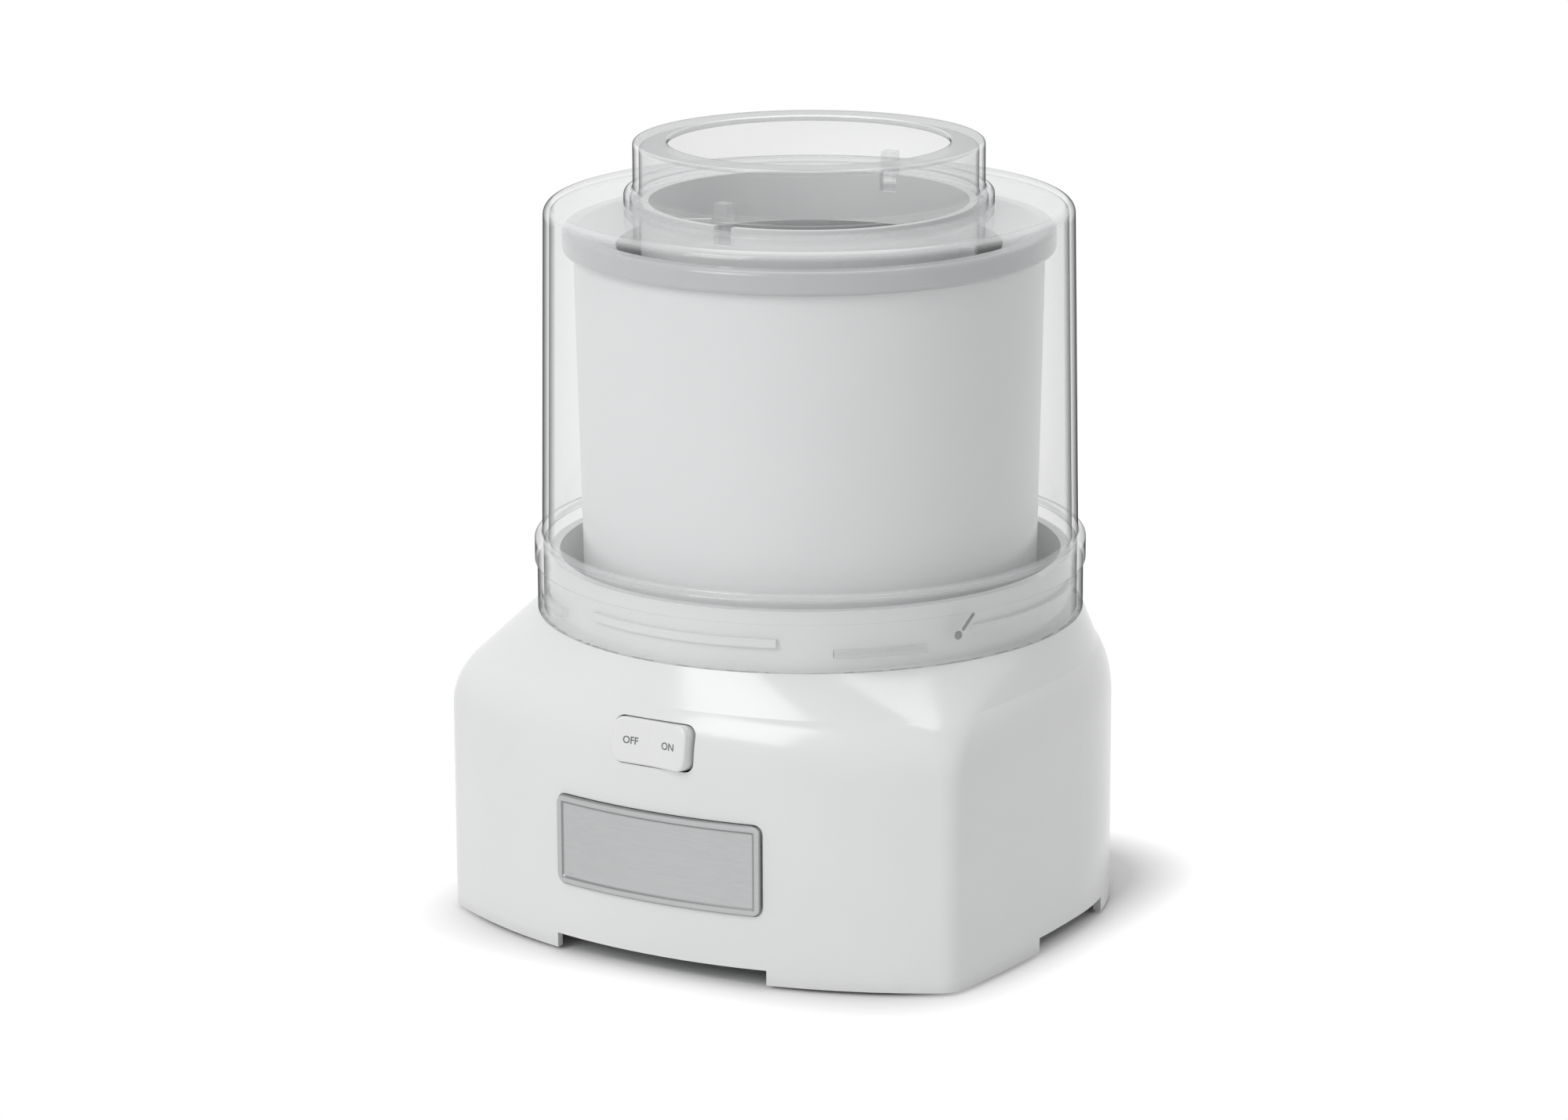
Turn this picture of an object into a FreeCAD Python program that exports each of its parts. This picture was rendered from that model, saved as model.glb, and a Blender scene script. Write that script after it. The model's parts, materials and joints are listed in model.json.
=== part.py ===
import FreeCAD
import Part
import math
import os

V = FreeCAD.Vector
Z_AXIS = V(0, 0, 1)

# Driving dimensions, in millimetres.

# Base plan: a shallow front arc, soft front corners, slightly convex sides and a round back.
BASE_FRONT = 112.5
BASE_REAR = 112.5
BASE_HALF_WIDTH = 111.5
FRONT_RADIUS = 200.0
SIDE_RADIUS = 500.0
SIDE_CENTRE_Y = -11.0
CORNER_RADIUS = 11.0

# Base heights, stacked upwards from the table.
FOOT_PROUD = 1.5
WALL_HEIGHT = 77.5
BULLNOSE_HEIGHT = 19.5
SHOULDER_RISE = 14.0
COLLAR_HEIGHT = 21.5
WELL_DEPTH = 42.0

# Base shell: the bullnose blends part of the way from the plan to the round ring.
RING_RADIUS = 101.0
BULLNOSE_BLEND = 0.26
BULLNOSE_INSET = 2.6
BULLNOSE_SWEEP = 58.0
BULLNOSE_STEPS = 3
HOUSING_WALL = 3.0
COLLAR_RADIUS = 96.2
COLLAR_WALL = 3.6
NOTCH_HEIGHT = 5.5
FRONT_NOTCH_HALF = 44.0
SIDE_NOTCH_HALF = 27.0
SCREW_POST_RADIUS = 5.0
POST_FROM_CORNER = (-6.3, 7.1)
POST_REAR_INSET = 14.0
POST_REAR_BEARING = 42.0

# Bottom plate, feet and screws.
PLATE_THICK = 2.5
PLATE_GAP = 0.3
VENT_COUNT = 7
VENT_PITCH = 9.0
VENT_LENGTH = 46.0
VENT_WIDTH = 3.5
VENT_Y = -28.0
FOOT_FROM_CORNER = (-18.3, -6.9)
FOOT_REAR_INSET = 16.0
FOOT_REAR_BEARING = 53.0
FOOT_RADIUS = 9.0
FOOT_PLUG_RADIUS = 5.0
FOOT_ROUND = 1.0
SCREW_RADIUS = 1.5
SCREW_HEAD_RADIUS = 3.0
SCREW_HEAD_HEIGHT = 2.0
SCREW_GAP = 0.2
HOUSING_SCREW_GRIP = 14.0

# Name plate, left bare.
BADGE_HALF_WIDTH = 42.7
BADGE_HEIGHT = 33.6
BADGE_LOW = 25.5
BADGE_PROUD = 1.5
BADGE_SINK = 1.2
BADGE_CORNER = 3.5
BADGE_BORDER = 2.6
BADGE_PANEL_SINK = 0.5
BADGE_GAP = 0.25

# Rocker switch.
ROCKER_WIDTH = 32.0
ROCKER_HEIGHT = 16.5
ROCKER_CORNER = 4.0
ROCKER_PROUD = 0.6
ROCKER_DEEP = 7.5
ROCKER_TILT = 5.0
ROCKER_SIDE_GAP = 0.9
ROCKER_END_GAP = 0.4
PIVOT_RADIUS = 1.3
PIVOT_COVER = 0.4
PIVOT_LENGTH = 1.4
SWITCH_LOW = 0.3
SWITCH_PAD_DEPTH = 3.8
SWITCH_BODY_WALL = 2.0
SWITCH_BODY_FLOOR = 1.6
SWITCH_FLOOR_GAP = 1.2
SWITCH_SEAT_GAP = 0.3

# Cord gland in the back wall.
GLAND_HEIGHT = 22.0
GLAND_FLANGE_RADIUS = 8.0
GLAND_FLANGE_THICK = 4.7
GLAND_FLANGE_SINK = 1.0
GLAND_BODY_RADIUS = 6.0
GLAND_BORE_RADIUS = 3.6
GLAND_BODY_LENGTH = 8.0
GLAND_GAP = 0.05

# Gear train: motor pinion, two-step idler and output gear.
PRESSURE_ANGLE = 25.0
BACKLASH = 0.22
FIRST_MODULE = 0.8
FIRST_PINION_TEETH = 12
FIRST_GEAR_TEETH = 60
SECOND_MODULE = 1.0
SECOND_PINION_TEETH = 12
SECOND_GEAR_TEETH = 66
IDLER_BEARING = 150.0
MOTOR_BEARING = 169.0
OUTPUT_FACE = 8.0
FIRST_FACE = 6.5
GEAR_SIDE_GAP = 1.5
GEAR_FACE_GAP = 2.0
GEAR_HUB_WALL = 3.5
WEB_HOLE_COUNT = 6
WEB_HOLE_RADIUS = 5.0

# Gear case under the well floor.
CASE_WALL = 2.5
CASE_ROOM = 3.0
CASE_STANDOFF = 3.0
CASE_EAR_RADIUS = 4.5
CASE_EAR_OUT = 2.0

# Output shaft, bushes, seal and drive hub.
SHAFT_RADIUS = 5.0
SHAFT_RUN_GAP = 0.05
FAR = 300.0
CUT_FAR = 10.0
CUT_PAST = 1.0
SWITCH_PAD_RIM = 3.0
ROTOR_RING = 1.5
SAME_BODY_GAP = 0.05
BUSH_WALL = 2.5
BUSH_FLANGE = 2.0
BUSH_FLANGE_THICK = 1.2
BUSH_LENGTH = 6.0
WELL_BOSS_RADIUS = 13.0
WELL_BOSS_HEIGHT = 4.0
SEAL_HEIGHT = 3.0
SEAL_WALL = 4.0
CLIP_THICK = 1.0
CLIP_WALL = 2.2
CLIP_GROOVE = 0.7
HUB_RADIUS = 15.0
HUB_LUG_RADIUS = 24.0
HUB_LUG_WIDTH = 9.0
HUB_LUG_COUNT = 4
HUB_LIFT = 1.0
HUB_GAP = 0.5
AXLE_RADIUS = 2.5

# Shaded-pole motor.
STACK_HEIGHT = 22.0
STACK_HALF_WIDTH = 24.0
STACK_BACK = 19.0
BORE_RADIUS = 13.4
AIR_GAP = 0.5
WINDOW_START = 18.0
WINDOW_DEPTH = 15.0
WINDOW_HALF = 15.0
LIMB_DEPTH = 9.0
COIL_BUILD = 8.0
COIL_GAP = 0.6
COIL_FLANGE = 1.6
BRACKET_RISE = 10.0
BRACKET_THICK = 2.0
BRACKET_HALF_WIDTH = 8.0
BRACKET_BOLT_X = 20.0
MOTOR_SHAFT_RADIUS = 2.5
MOTOR_BUSH_RADIUS = 5.0
MOTOR_BUSH_LENGTH = 6.0
FAN_RADIUS = 25.0
FAN_HEIGHT = 4.5
FAN_BLADES = 7
FAN_BLADE_THICK = 1.2
FAN_HUB_RADIUS = 6.0
FAN_GAP = 3.0

# Freezer bowl.
BOWL_FLOOR_GAP = 4.0
BOWL_HEIGHT = 159.0
BOWL_BASE_RADIUS = 83.0
BOWL_TOP_RADIUS = 86.2
BOWL_FOOT_ROUND = 7.0
BOWL_WALL = 2.2
RIM_OVERHANG = 4.1
RIM_HEIGHT = 9.0
RIM_ROUND = 2.0
RIM_TOP_WIDTH = 2.5
SOCKET_DEPTH = 14.0
SOCKET_WALL = 3.0
LINER_TOP_RADIUS = 70.5
LINER_BASE_RADIUS = 67.5
LINER_WALL = 1.6
LINER_FLOOR_LIFT = 6.0
LINER_ROUND = 10.0
LINER_FLANGE = 8.0
GEL_GAP = 0.3

# Mixing paddle.
PADDLE_RING_RADIUS = 61.4
PADDLE_RING_WALL = 2.8
PADDLE_RING_HEIGHT = 19.0
PADDLE_RING_TOP = 9.0
PADDLE_FLOOR_GAP = 0.3
PADDLE_WALL_GAP = 1.0
BLADE_WIDTH = 24.0
BLADE_THICK = 3.0
BLADE_TWIST = 38.0
BLADE_WINDOW_WIDTH = 9.0
BLADE_WINDOW_MARGIN = 22.0
CROSS_ARM_HEIGHT = 10.0
CROSS_ARM_THICK = 3.0
PADDLE_BOSS_RADIUS = 8.0
KEY_WIDTH = 5.0
KEY_DEPTH = 6.0
KEY_REACH = 4.5
KEY_RISE = 4.0
KEY_GAP = 1.0

# Clear lid.
LID_WALL = 2.3
SKIRT_RADIUS = 100.9
SKIRT_HEIGHT = 18.0
LID_BAND_RADIUS = 101.8
LID_BAND_HEIGHT = 9.5
LID_FOOT_RADIUS = 99.0
LID_RIM_GAP = 4.4
LID_BODY_HEIGHT = 123.5
LID_CORNER = 4.0
CHIMNEY_RADIUS = 64.2
CHIMNEY_HEIGHT = 22.5
CHIMNEY_MOUTH_RADIUS = 51.5
CHIMNEY_COVE_RADIUS = 67.6
CHIMNEY_COVE_HEIGHT = 5.0
MOUTH_THICK = 2.2
LOCK_TAB_COUNT = 4
LOCK_TAB_ANGLE = 20.0
LOCK_TAB_HEIGHT = 3.0
LOCK_TAB_LIFT = 5.0
LOCK_TAB_REACH = 1.6
LOCK_RIB_ANGLE = 46.0
LOCK_RIB_HEIGHT = 3.0
LOCK_RIB_REACH = 1.8
LOCK_RIB_GAP = 0.6

# Heights that follow from the stack above.
HOUSING_LOW = FOOT_PROUD
WALL_TOP = HOUSING_LOW + WALL_HEIGHT
CREASE_Z = WALL_TOP + BULLNOSE_HEIGHT
LEDGE_Z = CREASE_Z + SHOULDER_RISE
COLLAR_TOP = LEDGE_Z + COLLAR_HEIGHT
WELL_FLOOR = COLLAR_TOP - WELL_DEPTH
WELL_UNDER = WELL_FLOOR - HOUSING_WALL
NOTCH_TOP = HOUSING_LOW + NOTCH_HEIGHT
PLATE_LOW = NOTCH_TOP
PLATE_TOP = PLATE_LOW + PLATE_THICK

COVER_TOP = WELL_UNDER - CASE_STANDOFF
COVER_LOW = COVER_TOP - CASE_WALL
OUTPUT_GEAR_TOP = COVER_LOW - GEAR_SIDE_GAP
OUTPUT_GEAR_LOW = OUTPUT_GEAR_TOP - OUTPUT_FACE
IDLER_GEAR_TOP = OUTPUT_GEAR_LOW - GEAR_FACE_GAP
IDLER_GEAR_LOW = IDLER_GEAR_TOP - FIRST_FACE
CASE_FLOOR = IDLER_GEAR_LOW - GEAR_SIDE_GAP
CASE_UNDER = CASE_FLOOR - CASE_WALL

STACK_TOP = CASE_UNDER - BRACKET_RISE
STACK_LOW = STACK_TOP - STACK_HEIGHT
LOWER_BRACKET_LOW = STACK_LOW - BRACKET_RISE
FAN_TOP = LOWER_BRACKET_LOW - FAN_GAP
FAN_LOW = FAN_TOP - FAN_HEIGHT

BOWL_LOW = WELL_FLOOR + BOWL_FLOOR_GAP
BOWL_TOP = BOWL_LOW + BOWL_HEIGHT
RIM_LOW = BOWL_TOP - RIM_HEIGHT
HUB_TOP = BOWL_LOW + SOCKET_DEPTH
WELL_BOSS_TOP = WELL_FLOOR + WELL_BOSS_HEIGHT
HUB_LOW = WELL_BOSS_TOP + HUB_LIFT
LINER_FLOOR = HUB_TOP + SOCKET_WALL + LINER_FLOOR_LIFT

LID_LOW = LEDGE_Z
LID_BAND_LOW = LID_LOW + SKIRT_HEIGHT
LID_BAND_TOP = LID_BAND_LOW + LID_BAND_HEIGHT
LID_SHOULDER = LID_BAND_TOP + LID_BODY_HEIGHT
LID_TOP = LID_SHOULDER + CHIMNEY_HEIGHT

# Radii and gear places that follow.
WELL_RADIUS = COLLAR_RADIUS - COLLAR_WALL
WELL_OUTER = WELL_RADIUS + HOUSING_WALL
PIVOT_DEPTH = SWITCH_PAD_DEPTH + PIVOT_COVER + PIVOT_RADIUS
BUSH_RADIUS = SHAFT_RADIUS + SHAFT_RUN_GAP + BUSH_WALL
RIM_RADIUS = BOWL_TOP_RADIUS + RIM_OVERHANG
LID_SHOULDER_RADIUS = RIM_RADIUS + LID_RIM_GAP + LID_WALL
SECOND_CENTRES = SECOND_MODULE * (SECOND_PINION_TEETH + SECOND_GEAR_TEETH) / 2
FIRST_CENTRES = FIRST_MODULE * (FIRST_PINION_TEETH + FIRST_GEAR_TEETH) / 2


def polar(radius, degrees, origin=(0.0, 0.0)):
    """Point at a radius and a bearing in degrees about an origin in plan."""
    turn = math.radians(degrees)
    return origin[0] + radius * math.cos(turn), origin[1] + radius * math.sin(turn)


IDLER_AT = polar(SECOND_CENTRES, IDLER_BEARING)
MOTOR_AT = polar(FIRST_CENTRES, MOTOR_BEARING, IDLER_AT)


# Drawing helpers.

def rounded_edges(corners, place):
    """Closed run of lines and arcs through (a, b, radius) corners; place maps (a, b) to space."""
    count = len(corners)
    runs = []
    for i in range(count):
        a, b, radius = corners[i]
        here = V(a, b, 0)
        back = V(corners[i - 1][0], corners[i - 1][1], 0) - here
        ahead = V(corners[(i + 1) % count][0], corners[(i + 1) % count][1], 0) - here
        if radius == 0:
            runs.append((here, None, here))
            continue
        back.normalize()
        ahead.normalize()
        half = math.acos(max(-1.0, min(1.0, back.dot(ahead)))) / 2
        cut = radius / math.tan(half)
        inward = (back + ahead).normalize()
        middle = here + inward * (radius / math.sin(half) - radius)
        runs.append((here + back * cut, middle, here + ahead * cut))
    edges = []
    for i in range(count):
        start, middle, end = runs[i]
        if middle is not None:
            points = [place(p.x, p.y) for p in (start, middle, end)]
            edges.append(Part.Arc(*points).toShape())
        following = runs[(i + 1) % count][0]
        if end.distanceToPoint(following) > 1e-6:
            edges.append(Part.LineSegment(place(end.x, end.y), place(following.x, following.y)).toShape())
    return edges


def turned(corners):
    """Solid of revolution about Z from (radius, height, rounding) corners."""
    wire = Part.Wire(rounded_edges(corners, lambda a, b: V(a, 0, b)))
    return Part.Face(wire).revolve(V(0, 0, 0), Z_AXIS, 360)


def cylinder(radius, low, high, at=(0.0, 0.0)):
    return Part.makeCylinder(radius, high - low, V(at[0], at[1], low))


def tube(outer, inner, low, high, at=(0.0, 0.0)):
    return cylinder(outer, low, high, at).cut(cylinder(inner, low, high, at))


def block(x0, x1, y0, y1, z0, z1):
    return Part.makeBox(x1 - x0, y1 - y0, z1 - z0, V(x0, y0, z0))


def rounded_block(x0, x1, y0, y1, z0, z1, radius):
    """Box whose four upright edges are rounded."""
    corners = [(x0, y0, radius), (x1, y0, radius), (x1, y1, radius), (x0, y1, radius)]
    wire = Part.Wire(rounded_edges(corners, lambda a, b: V(a, b, z0)))
    return Part.Face(wire).extrude(V(0, 0, z1 - z0))


def capsule(first, first_radius, second, second_radius, low, high):
    """Upright solid whose plan is the belt round two circles."""
    run = V(second[0] - first[0], second[1] - first[1], 0)
    bearing = math.degrees(math.atan2(run.y, run.x))
    lean = math.degrees(math.acos((first_radius - second_radius) / run.Length))

    def rim(centre, radius, degrees):
        x, y = polar(radius, degrees, centre)
        return V(x, y, low)
    far = [rim(second, second_radius, bearing + a) for a in (-lean, 0, lean)]
    near = [rim(first, first_radius, bearing + a) for a in (lean, 180, -lean)]
    edges = [
        Part.LineSegment(near[2], far[0]).toShape(),
        Part.Arc(*far).toShape(),
        Part.LineSegment(far[2], near[0]).toShape(),
        Part.Arc(*near).toShape(),
    ]
    return Part.Face(Part.Wire(edges)).extrude(V(0, 0, high - low))


def ring_sector(outer, inner, low, high, middle, spread):
    """Part of an upright tube, spread degrees wide about a bearing."""
    profile = [V(inner, 0, low), V(outer, 0, low), V(outer, 0, high), V(inner, 0, high), V(inner, 0, low)]
    solid = Part.Face(Part.makePolygon(profile)).revolve(V(0, 0, 0), Z_AXIS, spread)
    solid.rotate(V(0, 0, 0), Z_AXIS, middle - spread / 2)
    return solid


def fused(shapes):
    return shapes[0].fuse(shapes[1:]).removeSplitter()


def screw_up(at, seat, tip):
    """Pan-head screw whose head sits under seat and whose shank points up."""
    head = cylinder(SCREW_HEAD_RADIUS, seat - SCREW_HEAD_HEIGHT, seat, at)
    return fused([head, cylinder(SCREW_RADIUS, seat, tip, at)])


# Base plan: arcs given as centre, radius and the span of their outward bearings.

def outline_arcs():
    front_centre = (0.0, FRONT_RADIUS - BASE_FRONT)
    side_centre = (BASE_HALF_WIDTH - SIDE_RADIUS, SIDE_CENTRE_Y)
    # The front corner's circle touches the front and side circles from inside.
    to_front = FRONT_RADIUS - CORNER_RADIUS
    to_side = SIDE_RADIUS - CORNER_RADIUS
    dx = side_centre[0] - front_centre[0]
    dy = side_centre[1] - front_centre[1]
    apart = math.hypot(dx, dy)
    along = (to_front ** 2 - to_side ** 2 + apart ** 2) / (2 * apart)
    across = math.sqrt(to_front ** 2 - along ** 2)
    corner_x = front_centre[0] + (along * dx - across * dy) / apart
    corner_y = front_centre[1] + (along * dy + across * dx) / apart
    # The rear circle is centred on X = 0, touches the side circle and reaches BASE_REAR.
    reach = SIDE_RADIUS - BASE_REAR
    span = SIDE_RADIUS - BASE_HALF_WIDTH
    rear_y = (span ** 2 + SIDE_CENTRE_Y ** 2 - reach ** 2) / (2 * (reach + SIDE_CENTRE_Y))
    rear_radius = BASE_REAR - rear_y

    def bearing(start, end):
        return math.degrees(math.atan2(end[1] - start[1], end[0] - start[0]))
    corner = (corner_x, corner_y)
    front_end = bearing(front_centre, corner)
    side_start = bearing(side_centre, corner)
    side_end = bearing(side_centre, (0.0, rear_y))
    left_side = (-side_centre[0], side_centre[1])
    return [
        (front_centre, FRONT_RADIUS, -180 - front_end, front_end),
        (corner, CORNER_RADIUS, front_end, side_start),
        (side_centre, SIDE_RADIUS, side_start, side_end),
        ((0.0, rear_y), rear_radius, side_end, 180 - side_end),
        (left_side, SIDE_RADIUS, 180 - side_end, 180 - side_start),
        ((-corner_x, corner_y), CORNER_RADIUS, 180 - side_start, 180 - front_end),
    ]


OUTLINE = outline_arcs()


def mirrored_places(from_corner, rear_inset, rear_bearing):
    """Four plan points: two beside the front corners' centres and two inside the rear arc."""
    corner = OUTLINE[1][0]
    rear_centre, rear_radius = OUTLINE[3][:2]
    x, y = corner[0] + from_corner[0], corner[1] + from_corner[1]
    rear_x, rear_y = polar(rear_radius - rear_inset, rear_bearing, rear_centre)
    return [(-x, y), (x, y), (rear_x, rear_y), (-rear_x, rear_y)]


POSTS = mirrored_places(POST_FROM_CORNER, POST_REAR_INSET, POST_REAR_BEARING)
FEET = mirrored_places(FOOT_FROM_CORNER, FOOT_REAR_INSET, FOOT_REAR_BEARING)


def plan_wire(blend, inset, height):
    """Base plan drawn in by inset and blended towards the ring; the arcs keep their bearings."""
    edges = []
    keep = 1 - blend
    for centre, radius, start, end in OUTLINE:
        about = (centre[0] * keep, centre[1] * keep)
        reach = radius * keep + RING_RADIUS * blend - inset
        points = [polar(reach, a, about) for a in (start, (start + end) / 2, end)]
        edges.append(Part.Arc(*[V(x, y, height) for x, y in points]).toShape())
    return Part.Wire(edges)


def bullnose(step):
    """Blend, inset and height at a step from 0, the wall's top, to 1, the crease."""
    turn = math.radians(BULLNOSE_SWEEP) * step
    full = math.radians(BULLNOSE_SWEEP)
    draw = (1 - math.cos(turn)) / (1 - math.cos(full))
    rise = math.sin(turn) / math.sin(full)
    return BULLNOSE_BLEND * draw, BULLNOSE_INSET * draw, WALL_TOP + BULLNOSE_HEIGHT * rise


def base_form(inset, low):
    """Solid of the base's outside, drawn in by inset: wall, bullnose and shoulder."""
    wall = Part.Face(plan_wire(0, inset, low)).extrude(V(0, 0, WALL_TOP - low))
    levels = [bullnose(i / BULLNOSE_STEPS) for i in range(BULLNOSE_STEPS + 1)]
    nose = Part.makeLoft([plan_wire(b, d + inset, z) for b, d, z in levels], True, False)
    blend, draw, crease = levels[-1]
    crease_wire = plan_wire(blend, draw + inset, crease)
    shoulder = Part.makeLoft([crease_wire, plan_wire(1, inset, LEDGE_Z)], True, True)
    return wall.fuse([nose, shoulder])


# Rocker switch frame: centre on the bullnose at X = 0, with its outward and upslope directions.

def switch_frame():
    def on_nose(step):
        blend, inset, height = bullnose(step)
        return V(0, -(BASE_FRONT * (1 - blend) + RING_RADIUS * blend - inset), height)
    centre = on_nose(SWITCH_LOW)
    upslope = (on_nose(2 * SWITCH_LOW) - on_nose(0)).normalize()
    outward = V(1, 0, 0).cross(upslope)
    return centre, outward, upslope


def in_switch_frame(shape):
    """Place a shape drawn with X across, Y upslope and Z outward."""
    centre, outward, upslope = switch_frame()
    turn = FreeCAD.Rotation(V(1, 0, 0), upslope, outward, "ZXY")
    placed = shape.copy()
    placed.Placement = FreeCAD.Placement(centre, turn).multiply(shape.Placement)
    return placed


def switch_block(grow_x, grow_y, low, high, corner):
    half_x = ROCKER_WIDTH / 2 + grow_x
    half_y = ROCKER_HEIGHT / 2 + grow_y
    return rounded_block(-half_x, half_x, -half_y, half_y, low, high, corner)


def switch_rocker():
    """Rocker with a shallow V face, tilted so that its left half is pressed."""
    half = ROCKER_WIDTH / 2
    rise = half * math.tan(math.radians(ROCKER_TILT))
    body = switch_block(0, 0, -ROCKER_DEEP, ROCKER_PROUD + rise, ROCKER_CORNER)
    top = [V(-half, 0, ROCKER_PROUD + rise), V(0, 0, ROCKER_PROUD), V(half, 0, ROCKER_PROUD + rise)]
    cut = Part.Face(Part.makePolygon(top + [top[0]])).extrude(V(0, ROCKER_HEIGHT, 0))
    cut.translate(V(0, -ROCKER_HEIGHT / 2, 0))
    keel = half * 0.5
    for side in (-1, 1):
        # The underside is relieved so that the rocker can tip.
        foot = V(side * keel, 0, -ROCKER_DEEP)
        relief = [V(side * half, 0, -ROCKER_DEEP), foot, V(side * half, 0, -PIVOT_DEPTH)]
        wedge = Part.Face(Part.makePolygon(relief + [relief[0]])).extrude(V(0, ROCKER_HEIGHT, 0))
        wedge.translate(V(0, -ROCKER_HEIGHT / 2, 0))
        cut = cut.fuse(wedge)
    length = ROCKER_HEIGHT + 2 * (ROCKER_END_GAP + PIVOT_LENGTH)
    pivot = Part.makeCylinder(PIVOT_RADIUS, length, V(0, -length / 2, -PIVOT_DEPTH), V(0, 1, 0))
    rocker = body.cut(cut).fuse(pivot).removeSplitter()
    rocker.rotate(V(0, 0, -PIVOT_DEPTH), V(0, 1, 0), -ROCKER_TILT)
    return in_switch_frame(rocker)


def switch_body():
    """Open cup behind the front wall that carries the rocker's pivot."""
    floor = -(ROCKER_DEEP + SWITCH_FLOOR_GAP)
    wall = SWITCH_BODY_WALL
    cup = switch_block(ROCKER_SIDE_GAP + wall, ROCKER_END_GAP + wall, floor - SWITCH_BODY_FLOOR,
                       -SWITCH_PAD_DEPTH, ROCKER_CORNER)
    room = switch_block(ROCKER_SIDE_GAP, ROCKER_END_GAP, floor, 0, ROCKER_CORNER)
    length = ROCKER_HEIGHT + 2 * (ROCKER_END_GAP + wall)
    hole_end = V(0, -length / 2, -PIVOT_DEPTH)
    hole = Part.makeCylinder(PIVOT_RADIUS + SHAFT_RUN_GAP, length, hole_end, V(0, 1, 0))
    return in_switch_frame(cup.cut(room).cut(hole))


def switch_terminals():
    """Two blade terminals under the switch cup."""
    top = -(ROCKER_DEEP + SWITCH_FLOOR_GAP + SWITCH_BODY_FLOOR)
    blades = [block(x - 2.4, x + 2.4, -6.0, -5.2, top - 4.0, top) for x in (-8.0, 8.0)]
    return Part.makeCompound([in_switch_frame(b) for b in blades])


# Base housing.

def front_sector(inner, outer, half_width, low, high):
    """Slab that follows the front wall, between two offsets from it."""
    spread = 2 * math.degrees(math.asin(half_width / FRONT_RADIUS))
    sector = ring_sector(FRONT_RADIUS + outer, FRONT_RADIUS + inner, low, high, -90, spread)
    sector.translate(V(0, FRONT_RADIUS - BASE_FRONT, 0))
    return sector


def rounded_sector(inner, outer, half_width, low, high, corner):
    """Front slab with its four corners rounded."""
    sector = front_sector(inner, outer, half_width, low, high)
    short = outer - inner
    edges = [e for e in sector.Edges if abs(e.Length - short) < 1e-4]
    return sector.makeFillet(corner, edges)


def lock_ribs():
    """Ribs round the collar that the lid's tabs turn under."""
    low = LEDGE_Z + LOCK_TAB_LIFT + LOCK_TAB_HEIGHT + LOCK_RIB_GAP
    pitch = 360 / LOCK_TAB_COUNT
    outer = COLLAR_RADIUS + LOCK_RIB_REACH
    inner = COLLAR_RADIUS - COLLAR_WALL / 2
    return [ring_sector(outer, inner, low, low + LOCK_RIB_HEIGHT, pitch * i, LOCK_RIB_ANGLE)
            for i in range(LOCK_TAB_COUNT)]


def case_ears():
    """Plan points of the gear case's four screw ears."""
    first, first_radius, second, second_radius = case_belt(CASE_WALL)
    out = CASE_EAR_OUT
    return [
        polar(first_radius + out, -75, first),
        polar(first_radius + out, 45, first),
        polar(second_radius + out, 105, second),
        polar(second_radius + out, 230, second),
    ]


def base_housing():
    outside = base_form(0, NOTCH_TOP)
    well = cylinder(WELL_OUTER, WELL_UNDER, COLLAR_TOP)
    room = base_form(HOUSING_WALL, NOTCH_TOP - CUT_PAST)
    ceiling = block(-FAR, FAR, -FAR, FAR, NOTCH_TOP - CUT_PAST, LEDGE_Z - HOUSING_WALL)
    room = room.common(ceiling).cut(well)
    posts = [cylinder(SCREW_POST_RADIUS, PLATE_TOP, LEDGE_Z, at) for at in POSTS]
    bosses = [cylinder(CASE_EAR_RADIUS, COVER_TOP, WELL_FLOOR, at) for at in case_ears()]
    pad = in_switch_frame(switch_block(ROCKER_SIDE_GAP + SWITCH_PAD_RIM, ROCKER_END_GAP + SWITCH_PAD_RIM,
                                       -SWITCH_PAD_DEPTH, CUT_FAR, ROCKER_CORNER))
    solid_parts = [p.common(outside) for p in posts + [pad]] + bosses
    collar = cylinder(COLLAR_RADIUS, WELL_UNDER, COLLAR_TOP)
    boss = cylinder(WELL_BOSS_RADIUS, WELL_UNDER, WELL_BOSS_TOP)
    housing = outside.cut(room).fuse(solid_parts + [collar])
    housing = housing.cut(cylinder(WELL_RADIUS, WELL_FLOOR, COLLAR_TOP + 1)).fuse([boss] + lock_ribs())
    return housing.cut(housing_cuts()).removeSplitter()


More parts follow.
